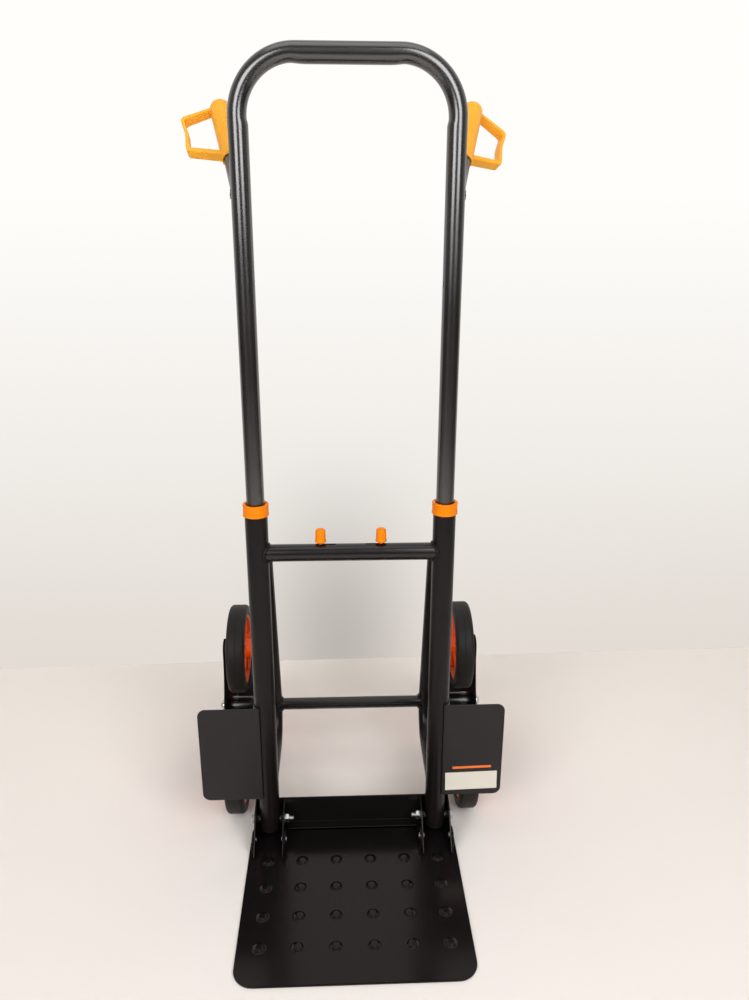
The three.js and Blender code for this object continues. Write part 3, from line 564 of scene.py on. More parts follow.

# Black nylon: the bushes inside the main tubes and at the outer ends of the wheels' hubs. At the
# hubs its black is partly painted shade.
finish(
    "black_plastic", "moulded_black_nylon", "#19191a #232324", 1.0, (0.42, 0.55), (0.03, 0.2),
    ior=1.53,
)

# Laminated card: dark board under a thin film. The right card has an orange rule and a blank cream
# sticker, each a printed film of its own.
film = {"grain": 0.7, "ior": 1.5, "level": 0.3}
finish(
    "card_board", "film_laminated_card", "#1b1718 #231f20", rough=(0.4, 0.5), bump=(0.01, 0.15), **film
)
film |= {"rough": (0.45, 0.55), "bump": (0.01, 0.1), "record": "card_board"}
finish("orange_film", "printed_orange_film", "#e4702c #ee7c36", **film)
finish("pale_film", "blank_cream_sticker", "#d6d0c3 #dcd6c9", **film)

# Zinc plating: a silver skin with crystals of about 1 mm that reflect a little differently. Spring
# wire is drawn steel, a little duller and greyer.
finish(
    "zinc_plate", "bright_zinc_plating", "#b9bbbd #d8d9da", 1.2, (0.22, 0.36), (0.02, 0.3), metal=1.0
)
finish(
    "spring_steel", "drawn_spring_wire", "#7f8286 #999b9f", 0.6, (0.28, 0.4), (0.01, 0.3), metal=1.0
)

for node in frame["nodes"].values():
    for place in node.material_slots:
        if place.material.name in FINISH:
            place.material = FINISH[place.material.name]
print("finishes:", ", ".join(made.name for made in FINISH.values()))

# %% [markdown]
# ## The main tubes
#
# Two straight tubes of 32 mm carry everything. Each is open at both ends, has a hole for the latch
# pin on its inner side, and is cut round at the back of its foot so that the bracket can swing.
# The photo shows the dark bore at the foot, so the tube gets a real wall and a real bore.

# %% The main tubes
hole_radius, hole_reach = 4.3, 40
swing_play = 0.6  # between a tube's foot and the wall that swings behind it
swing_radius = span("hinge_bracket")[1][1] - sheet_side - swing_play


def latch_hole(side, z):
    """A tool that punches a latch hole from the inner side to the middle of a tube."""
    bar = turned(
        rectangle((0, 0), (hole_radius, hole_reach)), (side * (tube_x - hole_reach), 0, z),
        (side, 0, 0), SMALL,
    )
    return mesh_object("hole", [bar])


for name, side in SIDES.items():
    x = side * tube_x
    path = np.array([[x, 0, z] for z in np.linspace(tube_foot, tube_top, 40)])
    thing = mesh_object(f"{name}_main_tube", [tube(path, (0, 1, 0), tube_radius)])
    drum = turned(rectangle((0, -30), (swing_radius, 30)), (x, 0, pivot_z), (1, 0, 0), 64)
    block = slab(rectangle((0, 0), (40, pivot_z)), x - 20, x + 20, axes=ACROSS)
    behind = punched(mesh_object("behind", [block]), [mesh_object("swing", [drum])])
    punched(thing, [behind, latch_hole(side, crossbar_z)])
    dress(thing, "frame", "frame_paint", f"{name}_lower_tube")
print("main tubes dressed, cut to a radius of", round(swing_radius, 1), "behind the pivot")

# %% [markdown]
# ## Guide collars
#
# An orange plastic collar caps each main tube and centres the handle's leg in it. It is turned: a
# skirt outside, a rolled rim on top with a narrow light edge, and a sleeve inside.

# %% Guide collars
collar_low, collar_high = span("right_guide_collar")
collar_outer = collar_high[0] - tube_x
bore = handle_radius + play
skirt_inner = tube_radius + play
sleeve_outer = tube_radius - wall - play
skirt_foot = tube_top + play - 14.5
collar_profile = looped(
    [
        (bore, collar_low[2]),
        (sleeve_outer, collar_low[2]),
        (sleeve_outer, tube_top + play),
        (skirt_inner, tube_top + play),
        (skirt_inner, skirt_foot),
        (collar_outer, skirt_foot),
        (collar_outer, skirt_foot + 2.2),
        (collar_outer - 0.45, skirt_foot + 3.2),
        (collar_outer - 0.45, collar_high[2] - 3.4),
        (collar_outer - 0.2, collar_high[2] - 2.4),
        (collar_outer - 0.2, collar_high[2]),
        (bore + 1.6, collar_high[2]),
        (bore, collar_high[2] - 2.2),
    ],
    [0, 0.3, 0, 0.2, 0.3, 0.8, 0.8, 0.8, 0.8, 0.8, 1.1, 0.8, 0.8],
    steps=4,
)
for name, side in SIDES.items():
    ring = turned(collar_profile, (side * tube_x, 0, 0), (0, 0, 1), 64)
    piece(f"{name}_collar", [ring], "frame", "orange_plastic", f"{name}_guide_collar")
print("collars from", round(skirt_foot, 1), "to", round(collar_high[2], 1))

# %% [markdown]
# ## The crossbar
#
# A 25 mm tube is welded between the main tubes and holds the latch. Two slots in its top let the
# knobs slide. Its ends are saddles, and a weld bead runs round each of them. The slots are punched
# with a Boolean, because they cut across the grid.

# %% The crossbar
main_host = tube_radius - sink
knob_x = span("right_latch_pin")[0][0] + 10  # half a slide from the slide's inner end
slot_half, slot_in, slot_out = 2.1, 22, 7.1  # half its width, and its reach from the knob
ends = [(x, 0, crossbar_z) for x in (-tube_x, tube_x)]
hosts = [(x, 0, main_host) for x in (-tube_x, tube_x)]
crossbar = mesh_object("latch_crossbar", [straight_bar(*ends, crossbar_radius, *hosts, rows=80)])
slots = []
for side in SIDES.values():
    low, high = sorted((side * (knob_x - slot_in), side * (knob_x + slot_out)))
    outline = rounded(rectangle((low, -slot_half), (high, slot_half)), slot_half - 0.05)
    slots.append(mesh_object("slot", [slab(outline, crossbar_z, crossbar_z + 20)]))
dress(punched(crossbar, slots), "frame", "semi_gloss_paint", "crossbar")
for name, side in SIDES.items():
    start, host = (side * tube_x, 0, crossbar_z), (side * tube_x, 0, tube_radius)
    bead = weld(start, (-side, 0, 0), crossbar_radius + 0.3, host, 2.4)
    piece(f"{name}_crossbar_weld", [bead], "frame", "frame_paint", sharp=60)
print("crossbar with two slots, knobs at x", round(knob_x, 1))

# %% [markdown]
# ## The latch
#
# Squeezing the two knobs together pulls both pins out of the handle's legs, and a spring between
# the slides pushes them back. The knobs are turned, with a flare low down that keeps a finger from
# slipping. The spring is a real coil in two halves, and both halves ride on the frame.

# %% The latch
for name, side in SIDES.items():
    low, high = (corner[2] for corner in span(f"{name}_latch_knob"))
    corners = [(2.1, low), (3.6, low), (8.1, low + 3.4), (7.9, low + 5.2), (7.4, low + 7.5)]
    corners += [(7.0, high - 1.6), (5.6, high), (0, high), (0, low + 11.4), (2.1, low + 11.4)]
    profile = looped(corners, [0.3, 0.6, 0.8, 2, 4, 1.6, 3, 0, 0, 0], steps=5)
    knob = turned(profile, (side * knob_x, 0, 0), (0, 0, 1), 40)
    piece(f"{name}_squeeze_knob", [knob], f"{name}_latch", "orange_plastic", f"{name}_latch_knob")

wire = 0.6  # radius of the spring's wire
spring_end = span("latch_spring")[1][0] - 0.2
coil_radius = half_size("latch_spring")[2] - wire
turns_each = 9
for name, side in SIDES.items():
    share = np.linspace(0, 1, turns_each * 20)[:, None]
    around = share * turns_each * 2 * np.pi
    along = side * (0.4 + share * (spring_end - 0.8 - wire))
    coil = np.hstack([along, coil_radius * np.cos(around), crossbar_z + coil_radius * np.sin(around)])
    arm_out = np.hstack([0 * around, np.cos(around), np.sin(around)])
    ring = np.linspace(0, 2 * np.pi, 8, endpoint=False)[:, None]
    arms = np.cos(ring) * arm_out[:, None] + np.sin(ring) * np.array([1.0, 0, 0])
    thickness = wire * np.concatenate([[0], np.ones(len(coil) - 2), [0]])[:, None, None]
    surface = grid(coil[:, None] + thickness * arms)
    thing = piece(f"{name}_spring_half", [surface], "frame", "spring_steel", sharp=60)
    if side > 0:
        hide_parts("latch_spring")
    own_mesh(thing)

# %% [markdown]
# ## The handle
#
# One tube goes up, over and down. The bender has left its mark: inside each bend the wall is
# pressed flat by about 1.5 mm, and the flat ends in a small step just below the bend. The rings
# are scaled on their inner side there, and the two latch holes in each leg are punched.

# %% The handle
bend_radius = 70
bend_foot = handle_top - bend_radius
press = 0.13  # share of the radius that the bender takes off the inner side
step = 9  # length of the step where the flat ends
flat_foot = bend_foot - step
travel = 371  # between the two latch holes of a leg


def bender_mark(path, angles):
    """How much each point of a ring keeps of the radius: less on the side that faces the inside of
    the bend, by a smooth step that starts just below the bend and fades along the top bar."""
    rise = smooth_step((path[:, 2] - flat_foot) / step)
    reach = smooth_step((np.abs(path[:, 0]) - (tube_x - bend_radius - 12)) / 24)
    inner_side = np.clip(-np.sin(angles), 0, 1) ** 1.5
    return 1 - press * (rise * reach)[:, None] * inner_side


upper_hole = crossbar_z + travel
near_hole = np.arange(-9, 10, 3)
leg_stops = [handle_foot, handle_foot + 40, crossbar_z - 12, *(crossbar_z + near_hole)]
leg_stops += [crossbar_z + 40, 700, 840, *(upper_hole + near_hole), 900, 940, 980, 1010, 1030]
leg_stops += [*np.linspace(flat_foot - 4, bend_foot - 1, 12)]
leg = np.array([[-tube_x, 0, z] for z in leg_stops])
corner = np.array([[-tube_x, 0, bend_foot - 1], [-tube_x, 0, handle_top], [0, 0, handle_top]])
bend = rounded(corner, bend_radius, closed=False, steps=28)[1:-1]
top = np.array([[x, 0, handle_top] for x in np.linspace(-(tube_x - bend_radius) + 2, 0, 12)])
half = np.concatenate([leg, bend, top])
path = np.concatenate([half, (half * [-1, 1, 1])[-2::-1]])
handle = mesh_object("loop_handle", [tube(path, (0, 1, 0), handle_radius, shape=bender_mark)])
punched(handle, [latch_hole(side, z) for side in SIDES.values() for z in (crossbar_z, upper_hole)])
dress(handle, "handle", "gloss_paint", "handle_tube")
print("handle with", len(handle.data.polygons), "faces")

# %% [markdown]
# ## Stair grips
#
# On each leg a short tube leans back and outwards, and an orange grip turns on it. The grip is one
# moulding: a domed sleeve that widens towards its top, and a flat band that loops round the fingers
# and waves in once. The sleeve is turned. The band is a rounded rectangle carried between an outer
# and an inner line, and both its ends stop inside the sleeve's wall, clear of the stem.

# %% Stair grips
grip_length = 108
stem_inset = 12  # from the grip's top to the stem's end inside it
stem_length = 168.85
stem_radius = 10.5
grip_bore = stem_radius + play
grip_turn = {"left": 6, "right": 27}  # degrees that the photo shows
guard_half = 6.5  # half the width of the guard's band
guard_root = np.array([11.0, 60.0])  # inside the sleeve's wall, and level with the loop's middle
guard_edge = 1.1  # radius of the band's long edges
GUARD_OUTSIDE = rounded(
    [(8.5, 6), (54, 29), (54, 38), (51.5, 61.5), (54, 89), (51, 94), (8.5, 101)],
    [0, 6, 8, 14, 6, 2.5, 0],
    closed=False,
    steps=10,
)
GUARD_INSIDE = rounded(
    [(8.5, 14.2), (49.5, 33.8), (47, 61.5), (49.5, 88), (8.5, 97.2)],
    [0, 4, 16, 5, 0],
    closed=False,
    steps=10,
)


def turn_about(vector, line, angle):
    """A vector turned about a line: the part along the line stays, and the rest turns."""
    stays = line * (line @ vector)
    rest = vector - stays
    return stays + rest * math.cos(angle) + np.cross(line, rest) * math.sin(angle)


def from_root(line, angles):
    """How far a line lies from the guard's root at each angle. The line is cut into short steps
    first, because a straight run isn't straight in angle and distance."""
    lengths = np.concatenate([[0], np.cumsum(np.linalg.norm(np.diff(line, axis=0), axis=1))])
    stations = np.linspace(0, lengths[-1], 600)
    fine = np.stack([np.interp(stations, lengths, line[:, k]) for k in (0, 1)], axis=-1) - guard_root
    return np.interp(angles, np.arctan2(fine[:, 1], fine[:, 0]), np.hypot(fine[:, 0], fine[:, 1]))


def band(outside, inside, base, axes, steps=150):
    """A flat band between two lines: at each angle about the root, a rounded rectangle that spans
    the two lines and the band's width. Each of its corners is an arc about a centre that is one
    edge radius in from both sides."""
    angles = np.linspace(-np.pi / 2, np.pi / 2, steps)
    far, near = from_root(outside, angles), from_root(inside, angles)
    arc = np.concatenate([np.linspace(0, np.pi / 2, 5) + i * np.pi / 2 for i in range(4)])
    sign_out, sign_across = np.repeat([1, -1, -1, 1], 5), np.repeat([1, 1, -1, -1], 5)
    reach = sign_out * ((far - near)[:, None] / 2 - guard_edge) + guard_edge * np.cos(arc)
    distance = (far + near)[:, None] / 2 + reach
    ways = np.stack([np.cos(angles), np.sin(angles)], axis=-1)[:, None]
    flat = guard_root + distance[..., None] * ways
    side_step = sign_across * (guard_half - guard_edge) + guard_edge * np.sin(arc)
    side_step = np.broadcast_to(side_step, distance.shape)[..., None]
    points = base + np.concatenate([flat, side_step], axis=-1) @ axes
    lids = [np.broadcast_to(points[i].mean(0), points[i].shape)[None] for i in (0, -1)]
    return grid(np.concatenate([lids[0], points, lids[1]]))


sleeve_profile = looped(
    [
        (grip_bore, 0),
        (grip_bore + 1.8, 0),
        (grip_bore + 2.1, 12),
        (14, grip_length - 9),
        (13.2, grip_length),
        (0, grip_length),
        (0, grip_length - stem_inset + play),
        (grip_bore, grip_length - stem_inset + play),
    ],
    [0.3, 0.7, 6, 8, 7, 0, 0, 0],
    steps=8,
)
for name, side in SIDES.items():
    swivel = joint(f"{name}_grip_swivel")
    root, lean = np.array(swivel["pos_m"]) / MM, unit(swivel["axis"])
    host = (*root[:2], handle_radius - sink)
    stem = straight_bar(root, root + lean * stem_length, stem_radius, host, None, 16)
    piece(f"{name}_stem", [stem], "handle", "gloss_paint", f"{name}_grip_stem")
    bead = weld(root, lean, stem_radius + 0.2, (*root[:2], handle_radius), 2)
    piece(f"{name}_stem_weld", [bead], "handle", "frame_paint", sharp=60)

    base = root + lean * (stem_length + stem_inset - grip_length)
    sleeve = turned(sleeve_profile, base, lean, 64)
    body = f"{name}_grip"
    piece(f"{name}_grip_sleeve", [sleeve], body, "grip_plastic", f"{name}_stair_grip")
    outward = unit(np.array([side, 0, 0]) - lean * lean[0] * side)
    turn = side * math.radians(grip_turn[name])
    outward, guard_way = (turn_about(v, lean, turn) for v in (outward, np.cross(lean, outward)))
    guard = band(GUARD_OUTSIDE, GUARD_INSIDE, base, np.array([outward, lean, guard_way]))
    piece(f"{name}_hand_guard", [guard], body, "grip_plastic", sharp=60)
print("grips of", grip_length, "on stems that end", stem_length, "from their legs")

# %% [markdown]
# ## Rear bows and cross tube
#
# Behind each main tube a bent tube leaves level, slopes down, swings round a wide heel and comes
# back. The axle runs in a cross tube between the two heels. The path is straight runs joined by
# arcs, and its heel is as wide as the height from its foot to the axle, which puts the axle where
# the bow reaches back furthest.

# %% Rear bows and cross tube
slope = math.radians(14.5)
heel_radius = axle[2] - bow_foot
heel_y = axle[1] - heel_radius + heel_radius * (1 + math.sin(slope)) / math.cos(slope)
shoulder_y = heel_y - (bow_top - bow_foot) * math.tan(slope)
for name, side in SIDES.items():
    x = side * tube_x
    corners = [(x, 0, bow_top), (x, shoulder_y, bow_top), (x, heel_y, bow_foot), (x, 0, bow_foot)]
    path = rounded(corners, [0, 40, heel_radius, 0], closed=False, steps=36)
    bow = tube(path, (1, 0, 0), bow_radius, 40, [(x, 0, main_host)] * 2)
    piece(f"{name}_bow", [bow], "frame", "frame_paint", f"{name}_rear_bow")
    host = (x, 0, tube_radius)
    beads = [weld((x, 0, z), (0, 1, 0), bow_radius + 0.2, host) for z in (bow_top, bow_foot)]
    heel_host = (x, axle[1], bow_radius)
    beads.append(weld((x, *axle[1:]), (-side, 0, 0), cross_radius + 0.6, heel_host, 2.6))
    piece(f"{name}_bow_welds", beads, "frame", "frame_paint", sharp=60)

ends = [(x, *axle[1:]) for x in (-tube_x, tube_x)]
hosts = [(x, axle[1], bow_radius - sink) for x in (-tube_x, tube_x)]
cross = straight_bar(*ends, cross_radius, *hosts, rows=24, sides=40)
piece("axle_cross_tube", [cross], "frame", "semi_gloss_paint", "cross_tube")

axle_bore = 6.3
for name, side in SIDES.items():
    near, far = near_far(f"{name}_axle_nut")
    radius, length = half_size(f"{name}_axle_nut")[2], far - near
    corners = [(axle_bore, 0), (radius, 0), (radius, 1.6), (radius - 1.1, 2.4)]
    corners += [(radius - 1.1, length - 4), (radius - 4, length), (0, length), (0, length - 4)]
    profile = looped([*corners, (axle_bore, length - 4)], [0.2, 0.5, 0.5, 0.5, 3.5, 3.5, 0, 0, 0])
    base = (side * near, *axle[1:])
    nut = turned(profile, base, (side, 0, 0), 40)
    piece(f"{name}_dome_nut", [nut], "frame", "zinc_plate", f"{name}_axle_nut")
print("bows with heel radius", round(heel_radius, 1), "and shoulder at y", round(shoulder_y, 1))

# %% [markdown]
# ## The toe plate
#
# A steel sheet, pressed with 24 round bosses so that a box doesn't slip or stick, and bent up into a
# short lip at the back. The sheet is one surface: its height is zero, plus for each boss a smooth
# step from its rim up to its flat crown. The lines of the grid crowd together across the bosses
# and spread out between them. Solidify then gives the sheet its thickness, so that the underside
# has the hollows that pressing leaves.

# %% The toe plate
plate_low, plate_high = span("toe_plate")
plate_half, plate_front, plate_rear = plate_high[0], plate_low[1], plate_high[1]
front_corner, rear_corner = 28, 8  # radii of the plate's corners
sheet = 3
boss_outer, boss_crown, boss_height = 9.5, 4.6, 2.5
columns = np.linspace(31.6 - plate_half, plate_half - 31.6, 6)
rows_y = plate_front + 59.2 + 53.2 * np.arange(4)


def crowded(low, high, centres, reach=11, fine=1.1, coarse=6):
    """Stations from low to high, fine near each centre and coarse between them."""
    stops = [low, *sorted(v for c in centres for v in (c - reach, c + reach)), high]
    parts = []
    for i, (a, b) in enumerate(zip(stops[:-1], stops[1:])):
        step = fine if i % 2 else coarse
        parts.append(np.linspace(a, b, max(2, round((b - a) / step) + 1))[:-1])
    return np.concatenate([*parts, [high]])


def corner_half(y):
    """Half the plate's width at each y: less by a quarter round at the front and rear corners."""
    near = np.clip(plate_front + front_corner - y, 0, front_corner)
    far = np.clip(y - (plate_rear - rear_corner), 0, rear_corner)
    inset = front_corner - np.sqrt(front_corner**2 - near**2)
    return plate_half - (inset + rear_corner - np.sqrt(rear_corner**2 - far**2))


def edge_spread(count, low, high):
    """Stations that crowd towards the low end, as one minus the cosine."""
    return low + (high - low) * (1 - np.cos(np.linspace(0, np.pi / 2, count)))


ys = np.concatenate([
    edge_spread(14, plate_front, plate_front + front_corner)[:-1],
    crowded(plate_front + front_corner, plate_rear - rear_corner, rows_y)[:-1],
    (plate_rear + plate_front - edge_spread(7, plate_front, plate_front + rear_corner))[::-1],
])
us = crowded(-plate_half, plate_half, columns) / plate_half
x = us[None] * corner_half(ys)[:, None]
y = np.broadcast_to(ys[:, None], x.shape)
z = np.full(x.shape, float(sheet))
for cx in columns:
    for cy in rows_y:
        inwards = (boss_outer - np.hypot(x - cx, y - cy)) / (boss_outer - boss_crown)
        z = z + boss_height * smooth_step(inwards)
surface = grid(np.stack([x, y, z], axis=-1), close_columns=False)
plate = mesh_object("dimpled_toe_plate", [surface], 60)
if plate.data.polygons[0].normal.z < 0:
    plate.data.flip_normals()
thick = plate.modifiers.new("sheet", "SOLIDIFY")
thick.thickness, thick.offset = sheet * MM, -1
dress(round_off(made_final(plate, 50), 0.7, 2, 60), "toe", "plate_paint", "toe_plate")
print("toe plate with", len(columns) * len(rows_y), "bosses,", len(plate.data.polygons), "faces")

# %% [markdown]
# ## Lip, tabs and hinge bracket
#
# The lip and the four tabs stand up from the sheet. The bracket is a channel: a wall behind the
# tubes with an ear on each side of each tube, and the pivot bolts go through the ears. They are
# flat outlines with thickness, and a Bevel gives them the rounded edge that sheared sheet has
# after painting.

# %% Lip, tabs and hinge bracket
rivet_y, rivet_z = middle("right_inner_rivet")[1:]
bracket_low, bracket_high = span("hinge_bracket")
ear_play = 5  # between a main tube and the ear beside it
pivot_hole = 4.3
inner_ear = tube_x - tube_radius - ear_play - sheet_side
outer_ear = tube_x + tube_radius + ear_play
inner_tab = inner_ear - play - sheet_side
outer_tab = outer_ear + sheet_side + play
lip_top = 17
lip_front = plate_rear - sheet_side


def standing_sheets(outline, holes, places):
    """Copies of an upright sheet on both sides, with their inner faces at the given places."""
    sheets = []
    for side in SIDES.values():
        for x in places:
            low = side * x if side > 0 else -x - sheet_side
            sheets.append(slab(outline, low, low + sheet_side, holes, ACROSS))
    return sheets


rivet_hole = circle(rivet_y, rivet_z, 2.8)
tab_outline = rounded(rectangle((rivet_y - 14, 1), (rivet_y + 14, rivet_z + 9)), [0, 0, 8, 8])
lip_corners = [(plate_rear - 8, 0.2), (plate_rear, 0.2), (plate_rear, lip_top)]
lip_corners += [(lip_front, lip_top), (lip_front, sheet), (plate_rear - 8, sheet)]
lip = slab(rounded(lip_corners, [0, 3.2, 0.6, 0.6, 1.5, 0]), -inner_tab, inner_tab, axes=ACROSS)
tabs = standing_sheets(tab_outline, [rivet_hole], (inner_tab, outer_tab))
standing = round_off(mesh_object("plate_lip_and_tabs", [lip, *tabs]), 0.5)
dress(standing, "toe", "plate_paint")

back = bracket_high[1]
ear_corners = [(back - 0.4, 3.4), (back - 0.4, bracket_high[2]), (-10, 55), (-54, 8), (-54, 3.4)]
wall_outline = rounded(rectangle(bracket_low[[0, 2]], bracket_high[[0, 2]]), [2, 2, 4, 4])
surfaces = [slab(wall_outline, -back, sheet_side - back, axes=FACING)]
ear_holes = [circle(0, pivot_z, pivot_hole), rivet_hole]
ears = standing_sheets(rounded(ear_corners, [0, 2, 10, 3, 0.8]), ear_holes, (inner_ear, outer_ear))
inner_boss = (inner_ear + sheet_side - 0.2, tube_x - tube_radius - play)
outer_boss = (tube_x + tube_radius + play, outer_ear + 0.2)
for i, side in enumerate(SIDES.values()):
    surfaces += ears[2 * i : 2 * i + 2]
    for near, far in (inner_boss, outer_boss):
        boss = rectangle((pivot_hole, side * near), (7, side * far))
        surfaces.append(turned([*boss, boss[0]], (0, 0, pivot_z), (1, 0, 0), SMALL))
bracket = round_off(mesh_object("hinge_channel", surfaces), 0.6)
dress(bracket, "toe", "plate_paint", "hinge_bracket")
print("bracket from", bracket_low.round(1), "to", bracket_high.round(1))

# %% [markdown]
# ## Bolts, nuts and rivets
#
# A hexagon head is a hexagon cut by a cone: at each height its radius is the smaller of the
# hexagon's and the cone's. Written like that it is one surface, and it has the curved edges that a
# real chamfered head has. The thread is a radius that falls and rises once for each turn.

# %% Bolts, nuts and rivets


def hexagon(corner_radius, start, end, base, direction, chamfer=1.1, bore=0, both=False):
    """A hexagon head or nut: the radius is the smaller of the hexagon's, which is its half width
    over the cosine of the angle from the nearest flat, and a cone's at the chamfered ends."""
    angles, ring = ring_about(direction, 72)
    flat = corner_radius * math.cos(math.pi / 6)
    from_flat = (angles[:, 0] + math.pi / 6) % (math.pi / 3) - math.pi / 6
    length = abs(end - start)
    rise = [0, *np.linspace(0, chamfer, 5), *np.linspace(length - chamfer, length, 5), length]
    cone = np.full(len(rise), corner_radius)
    cone[7:11] = corner_radius - (np.linspace(0, 1, 5)[1:] * chamfer) * 1.3
    if both:
        cone[1:5] = cone[7:11][::-1]
    radius = np.minimum((flat / np.cos(from_flat))[None], cone[:, None])
    radius[[0, -1]] = bore
    heights = start + math.copysign(1, end - start) * np.array(rise)
    centres = np.asarray(base, float) + heights[:, None, None] * unit(direction)
    return grid(centres + radius[..., None] * ring, close_rows=bore > 0)


def thread(radius, start, end, base, direction, pitch=1.25, depth=0.45):
    """A threaded bar with a rounded tip: the radius less the depth times half of one minus the
    cosine of the turn, where the turn is the distance over the pitch less the angle."""
    angles, ring = ring_about(direction, 24)
    length = abs(end - start)
    share = np.linspace(0, 1, round(length / pitch * 8) + 1)
    heights = start + (end - start) * share
    phase = heights[:, None] / pitch * 2 * np.pi - angles[:, 0]
    cut = radius - depth * (1 - np.cos(phase)) / 2
    tip = np.clip((1 - share) * length / 1.2, 0, 1)[:, None]
    cut = np.minimum(cut, radius - 0.9 * (1 - tip))
    centres = np.asarray(base, float) + heights[:, None, None] * unit(direction)
    points = centres + cut[..., None] * ring
    lids = [np.repeat(points[i].mean(0)[None, None], len(angles), axis=1) for i in (0, -1)]
    return grid(np.concatenate([lids[0], points, lids[1]]))


hex_radius, washer_thick, bolt_radius, nut_height = 7.4, 0.8, 4, 7
bolt_seat = outer_ear + sheet_side + play
nut_seat = inner_ear - play
tail = nut_seat - 2 * nut_height  # the nut, and as much thread beyond it
for name, side in SIDES.items():
    base, way = (0, 0, pivot_z), (side, 0, 0)
    washer = rectangle((0, bolt_seat), (hex_radius, bolt_seat + washer_thick))
    surfaces = [
        turned(rectangle((0, tail + 12), (bolt_radius - 0.05, bolt_seat + 0.4)), base, way, SMALL),
        turned(rounded(washer, [0, 0.3, 0.3, 0], steps=3), base, way, SMALL),
        hexagon(hex_radius, bolt_seat + washer_thick, bolt_seat + 5.5, base, way),
        thread(bolt_radius, tail + 12.2, tail, base, way),
    ]
    name_of_bolt = f"{name}_pivot_hex_bolt"
    piece(name_of_bolt, surfaces, "toe", "zinc_plate", f"{name}_pivot_bolt", sharp=30)
    start, end, nut_bore = nut_seat - 1, nut_seat - nut_height, bolt_radius + 0.05
    nut = hexagon(hex_radius, start, end, base, way, bore=nut_bore, both=True)
    ring = rectangle((pivot_hole, nut_seat), (hex_radius, nut_seat - 0.9))
    ring = turned(rounded([*ring, ring[0]], [0, 0.3, 0.3, 0, 0], steps=3), base, way, SMALL)
    name_of_nut = f"{name}_pivot_hex_nut"
    piece(name_of_nut, [nut, ring], "toe", "zinc_plate", f"{name}_pivot_nut", sharp=30)

for name in SIDES:
    for where in ("inner", "outer"):
        node = f"{name}_{where}_rivet"
        head, length = half_size(node)[2], 2 * half_size(node)[0]
        corners = [(0, 0), (3.2, 0), (head, 1.5), (head, 2), (2.5, 2), (2.5, length - 2)]
        corners += [(head, length - 2), (head, length - 1.5), (3.2, length), (0, length)]
        radii = [0, 2.2, 0.4, 0.2, 0, 0, 0.2, 0.4, 2.2, 0]
        profile = rounded(corners, radii, closed=False, steps=5)
        rivet = turned(profile, (span(node)[0][0], rivet_y, rivet_z), (1, 0, 0), SMALL)
        piece(f"{name}_{where}_dome_rivet", [rivet], "toe", "zinc_plate", node)
print("bolts at z", round(pivot_z, 1), "rivets at", round(rivet_y, 1), round(rivet_z, 1))

# %% [markdown]
# ## The stars
#
# At each end of the axle two steel plates turn together and hold three wheels between them. Their
# outline is a round end about each wheel's bolt, joined by hollow sides. A hub keeps the plates
# apart, and its black paint shows the softbox as one long highlight.

# %% The stars
star_radius = 113
arm_radius = 17
waist = 22
star_bore = 6.35
arm_angles = np.pi / 2 + np.arange(3) * 2 * np.pi / 3


def polar(radius, angle):
    """A point at a distance and an angle."""
    return radius * np.array([math.cos(angle), math.sin(angle)])


def star_outline():
    """A half round about each bolt, then a curve to the next arm: the middle of the two ends and
    the waist point, weighted as in a quadratic Bezier."""
    parts = []
    for angle in arm_angles:
        swing = np.linspace(angle - np.pi / 2, angle + np.pi / 2, 25)[:, None]
        end = polar(star_radius, angle) + arm_radius * np.hstack([np.cos(swing), np.sin(swing)])
        ahead = angle + 2 * np.pi / 3
        goal = polar(star_radius, ahead) + polar(arm_radius, ahead - np.pi / 2)
        hollow = polar(waist, angle + np.pi / 3)
        t = np.linspace(0, 1, 22)[1:-1, None]
        parts += [end, (1 - t) ** 2 * end[-1] + 2 * t * (1 - t) * hollow + t**2 * goal]
    return np.concatenate(parts)


outline = star_outline() + axle[1:]
axle_place = (0, *axle[1:])
holes = [circle(*(axle[1:] + polar(star_radius, angle)), 5.3) for angle in arm_angles]
holes.append(circle(*axle[1:], star_bore))
for name, side in SIDES.items():
    body = f"{name}_star"
    for where in ("inner", "outer"):
        near, far = near_far(f"{name}_{where}_star_plate")
        surfaces = [slab(outline, *sorted((side * (far - 3), side * far)), holes, ACROSS)]
        if where == "inner":
            boss = looped(rectangle((star_bore, near), (10, far - 1)), [0.3, 0.6, 0, 0], steps=3)
            surfaces.append(turned(boss * [1, side], axle_place, (1, 0, 0), 40))
        thing = round_off(mesh_object(f"{name}_{where}_star", surfaces), 0.6)
        dress(thing, body, "matt_paint", f"{name}_{where}_star_plate")
    near, far = near_far(f"{name}_star_hub")
    hub_radius = half_size(f"{name}_star_hub")[2]
    hub = looped(rectangle((star_bore, near), (hub_radius, far)), [0, 0.8, 0.8, 0], steps=4)
    hub = turned(hub * [1, side], axle_place, (1, 0, 0), 40)
    piece(f"{name}_star_spacer", [hub], body, "semi_gloss_paint", f"{name}_star_hub")

wheel_nodes = [n[: -len("_tyre")] for n in frame["nodes"] if n.endswith("_tyre")]
for wheel in wheel_nodes:
    near, far = near_far(f"{wheel}_wheel_bolt")
    place = middle(f"{wheel}_wheel_bolt") * [0, 1, 1]
    side_name = wheel.split("_")[0]
    way = (SIDES[side_name], 0, 0)
    head = rounded(rectangle((0, far - 1), (8, far)), [0, 0.2, 0.75, 0], False, 5)
    surfaces = [
        turned(rectangle((0, near + 3), (5, far - 0.5)), place, way, SMALL),
        turned(head, place, way, 40),
        hexagon(9, near + 6, near, place, way, 1.3),
    ]
    node = f"{wheel}_wheel_bolt"
    piece(f"{wheel}_low_head_bolt", surfaces, f"{side_name}_star", "frame_paint", node, sharp=30)
print("stars with", len(outline), "outline points and", len(wheel_nodes), "wheels")
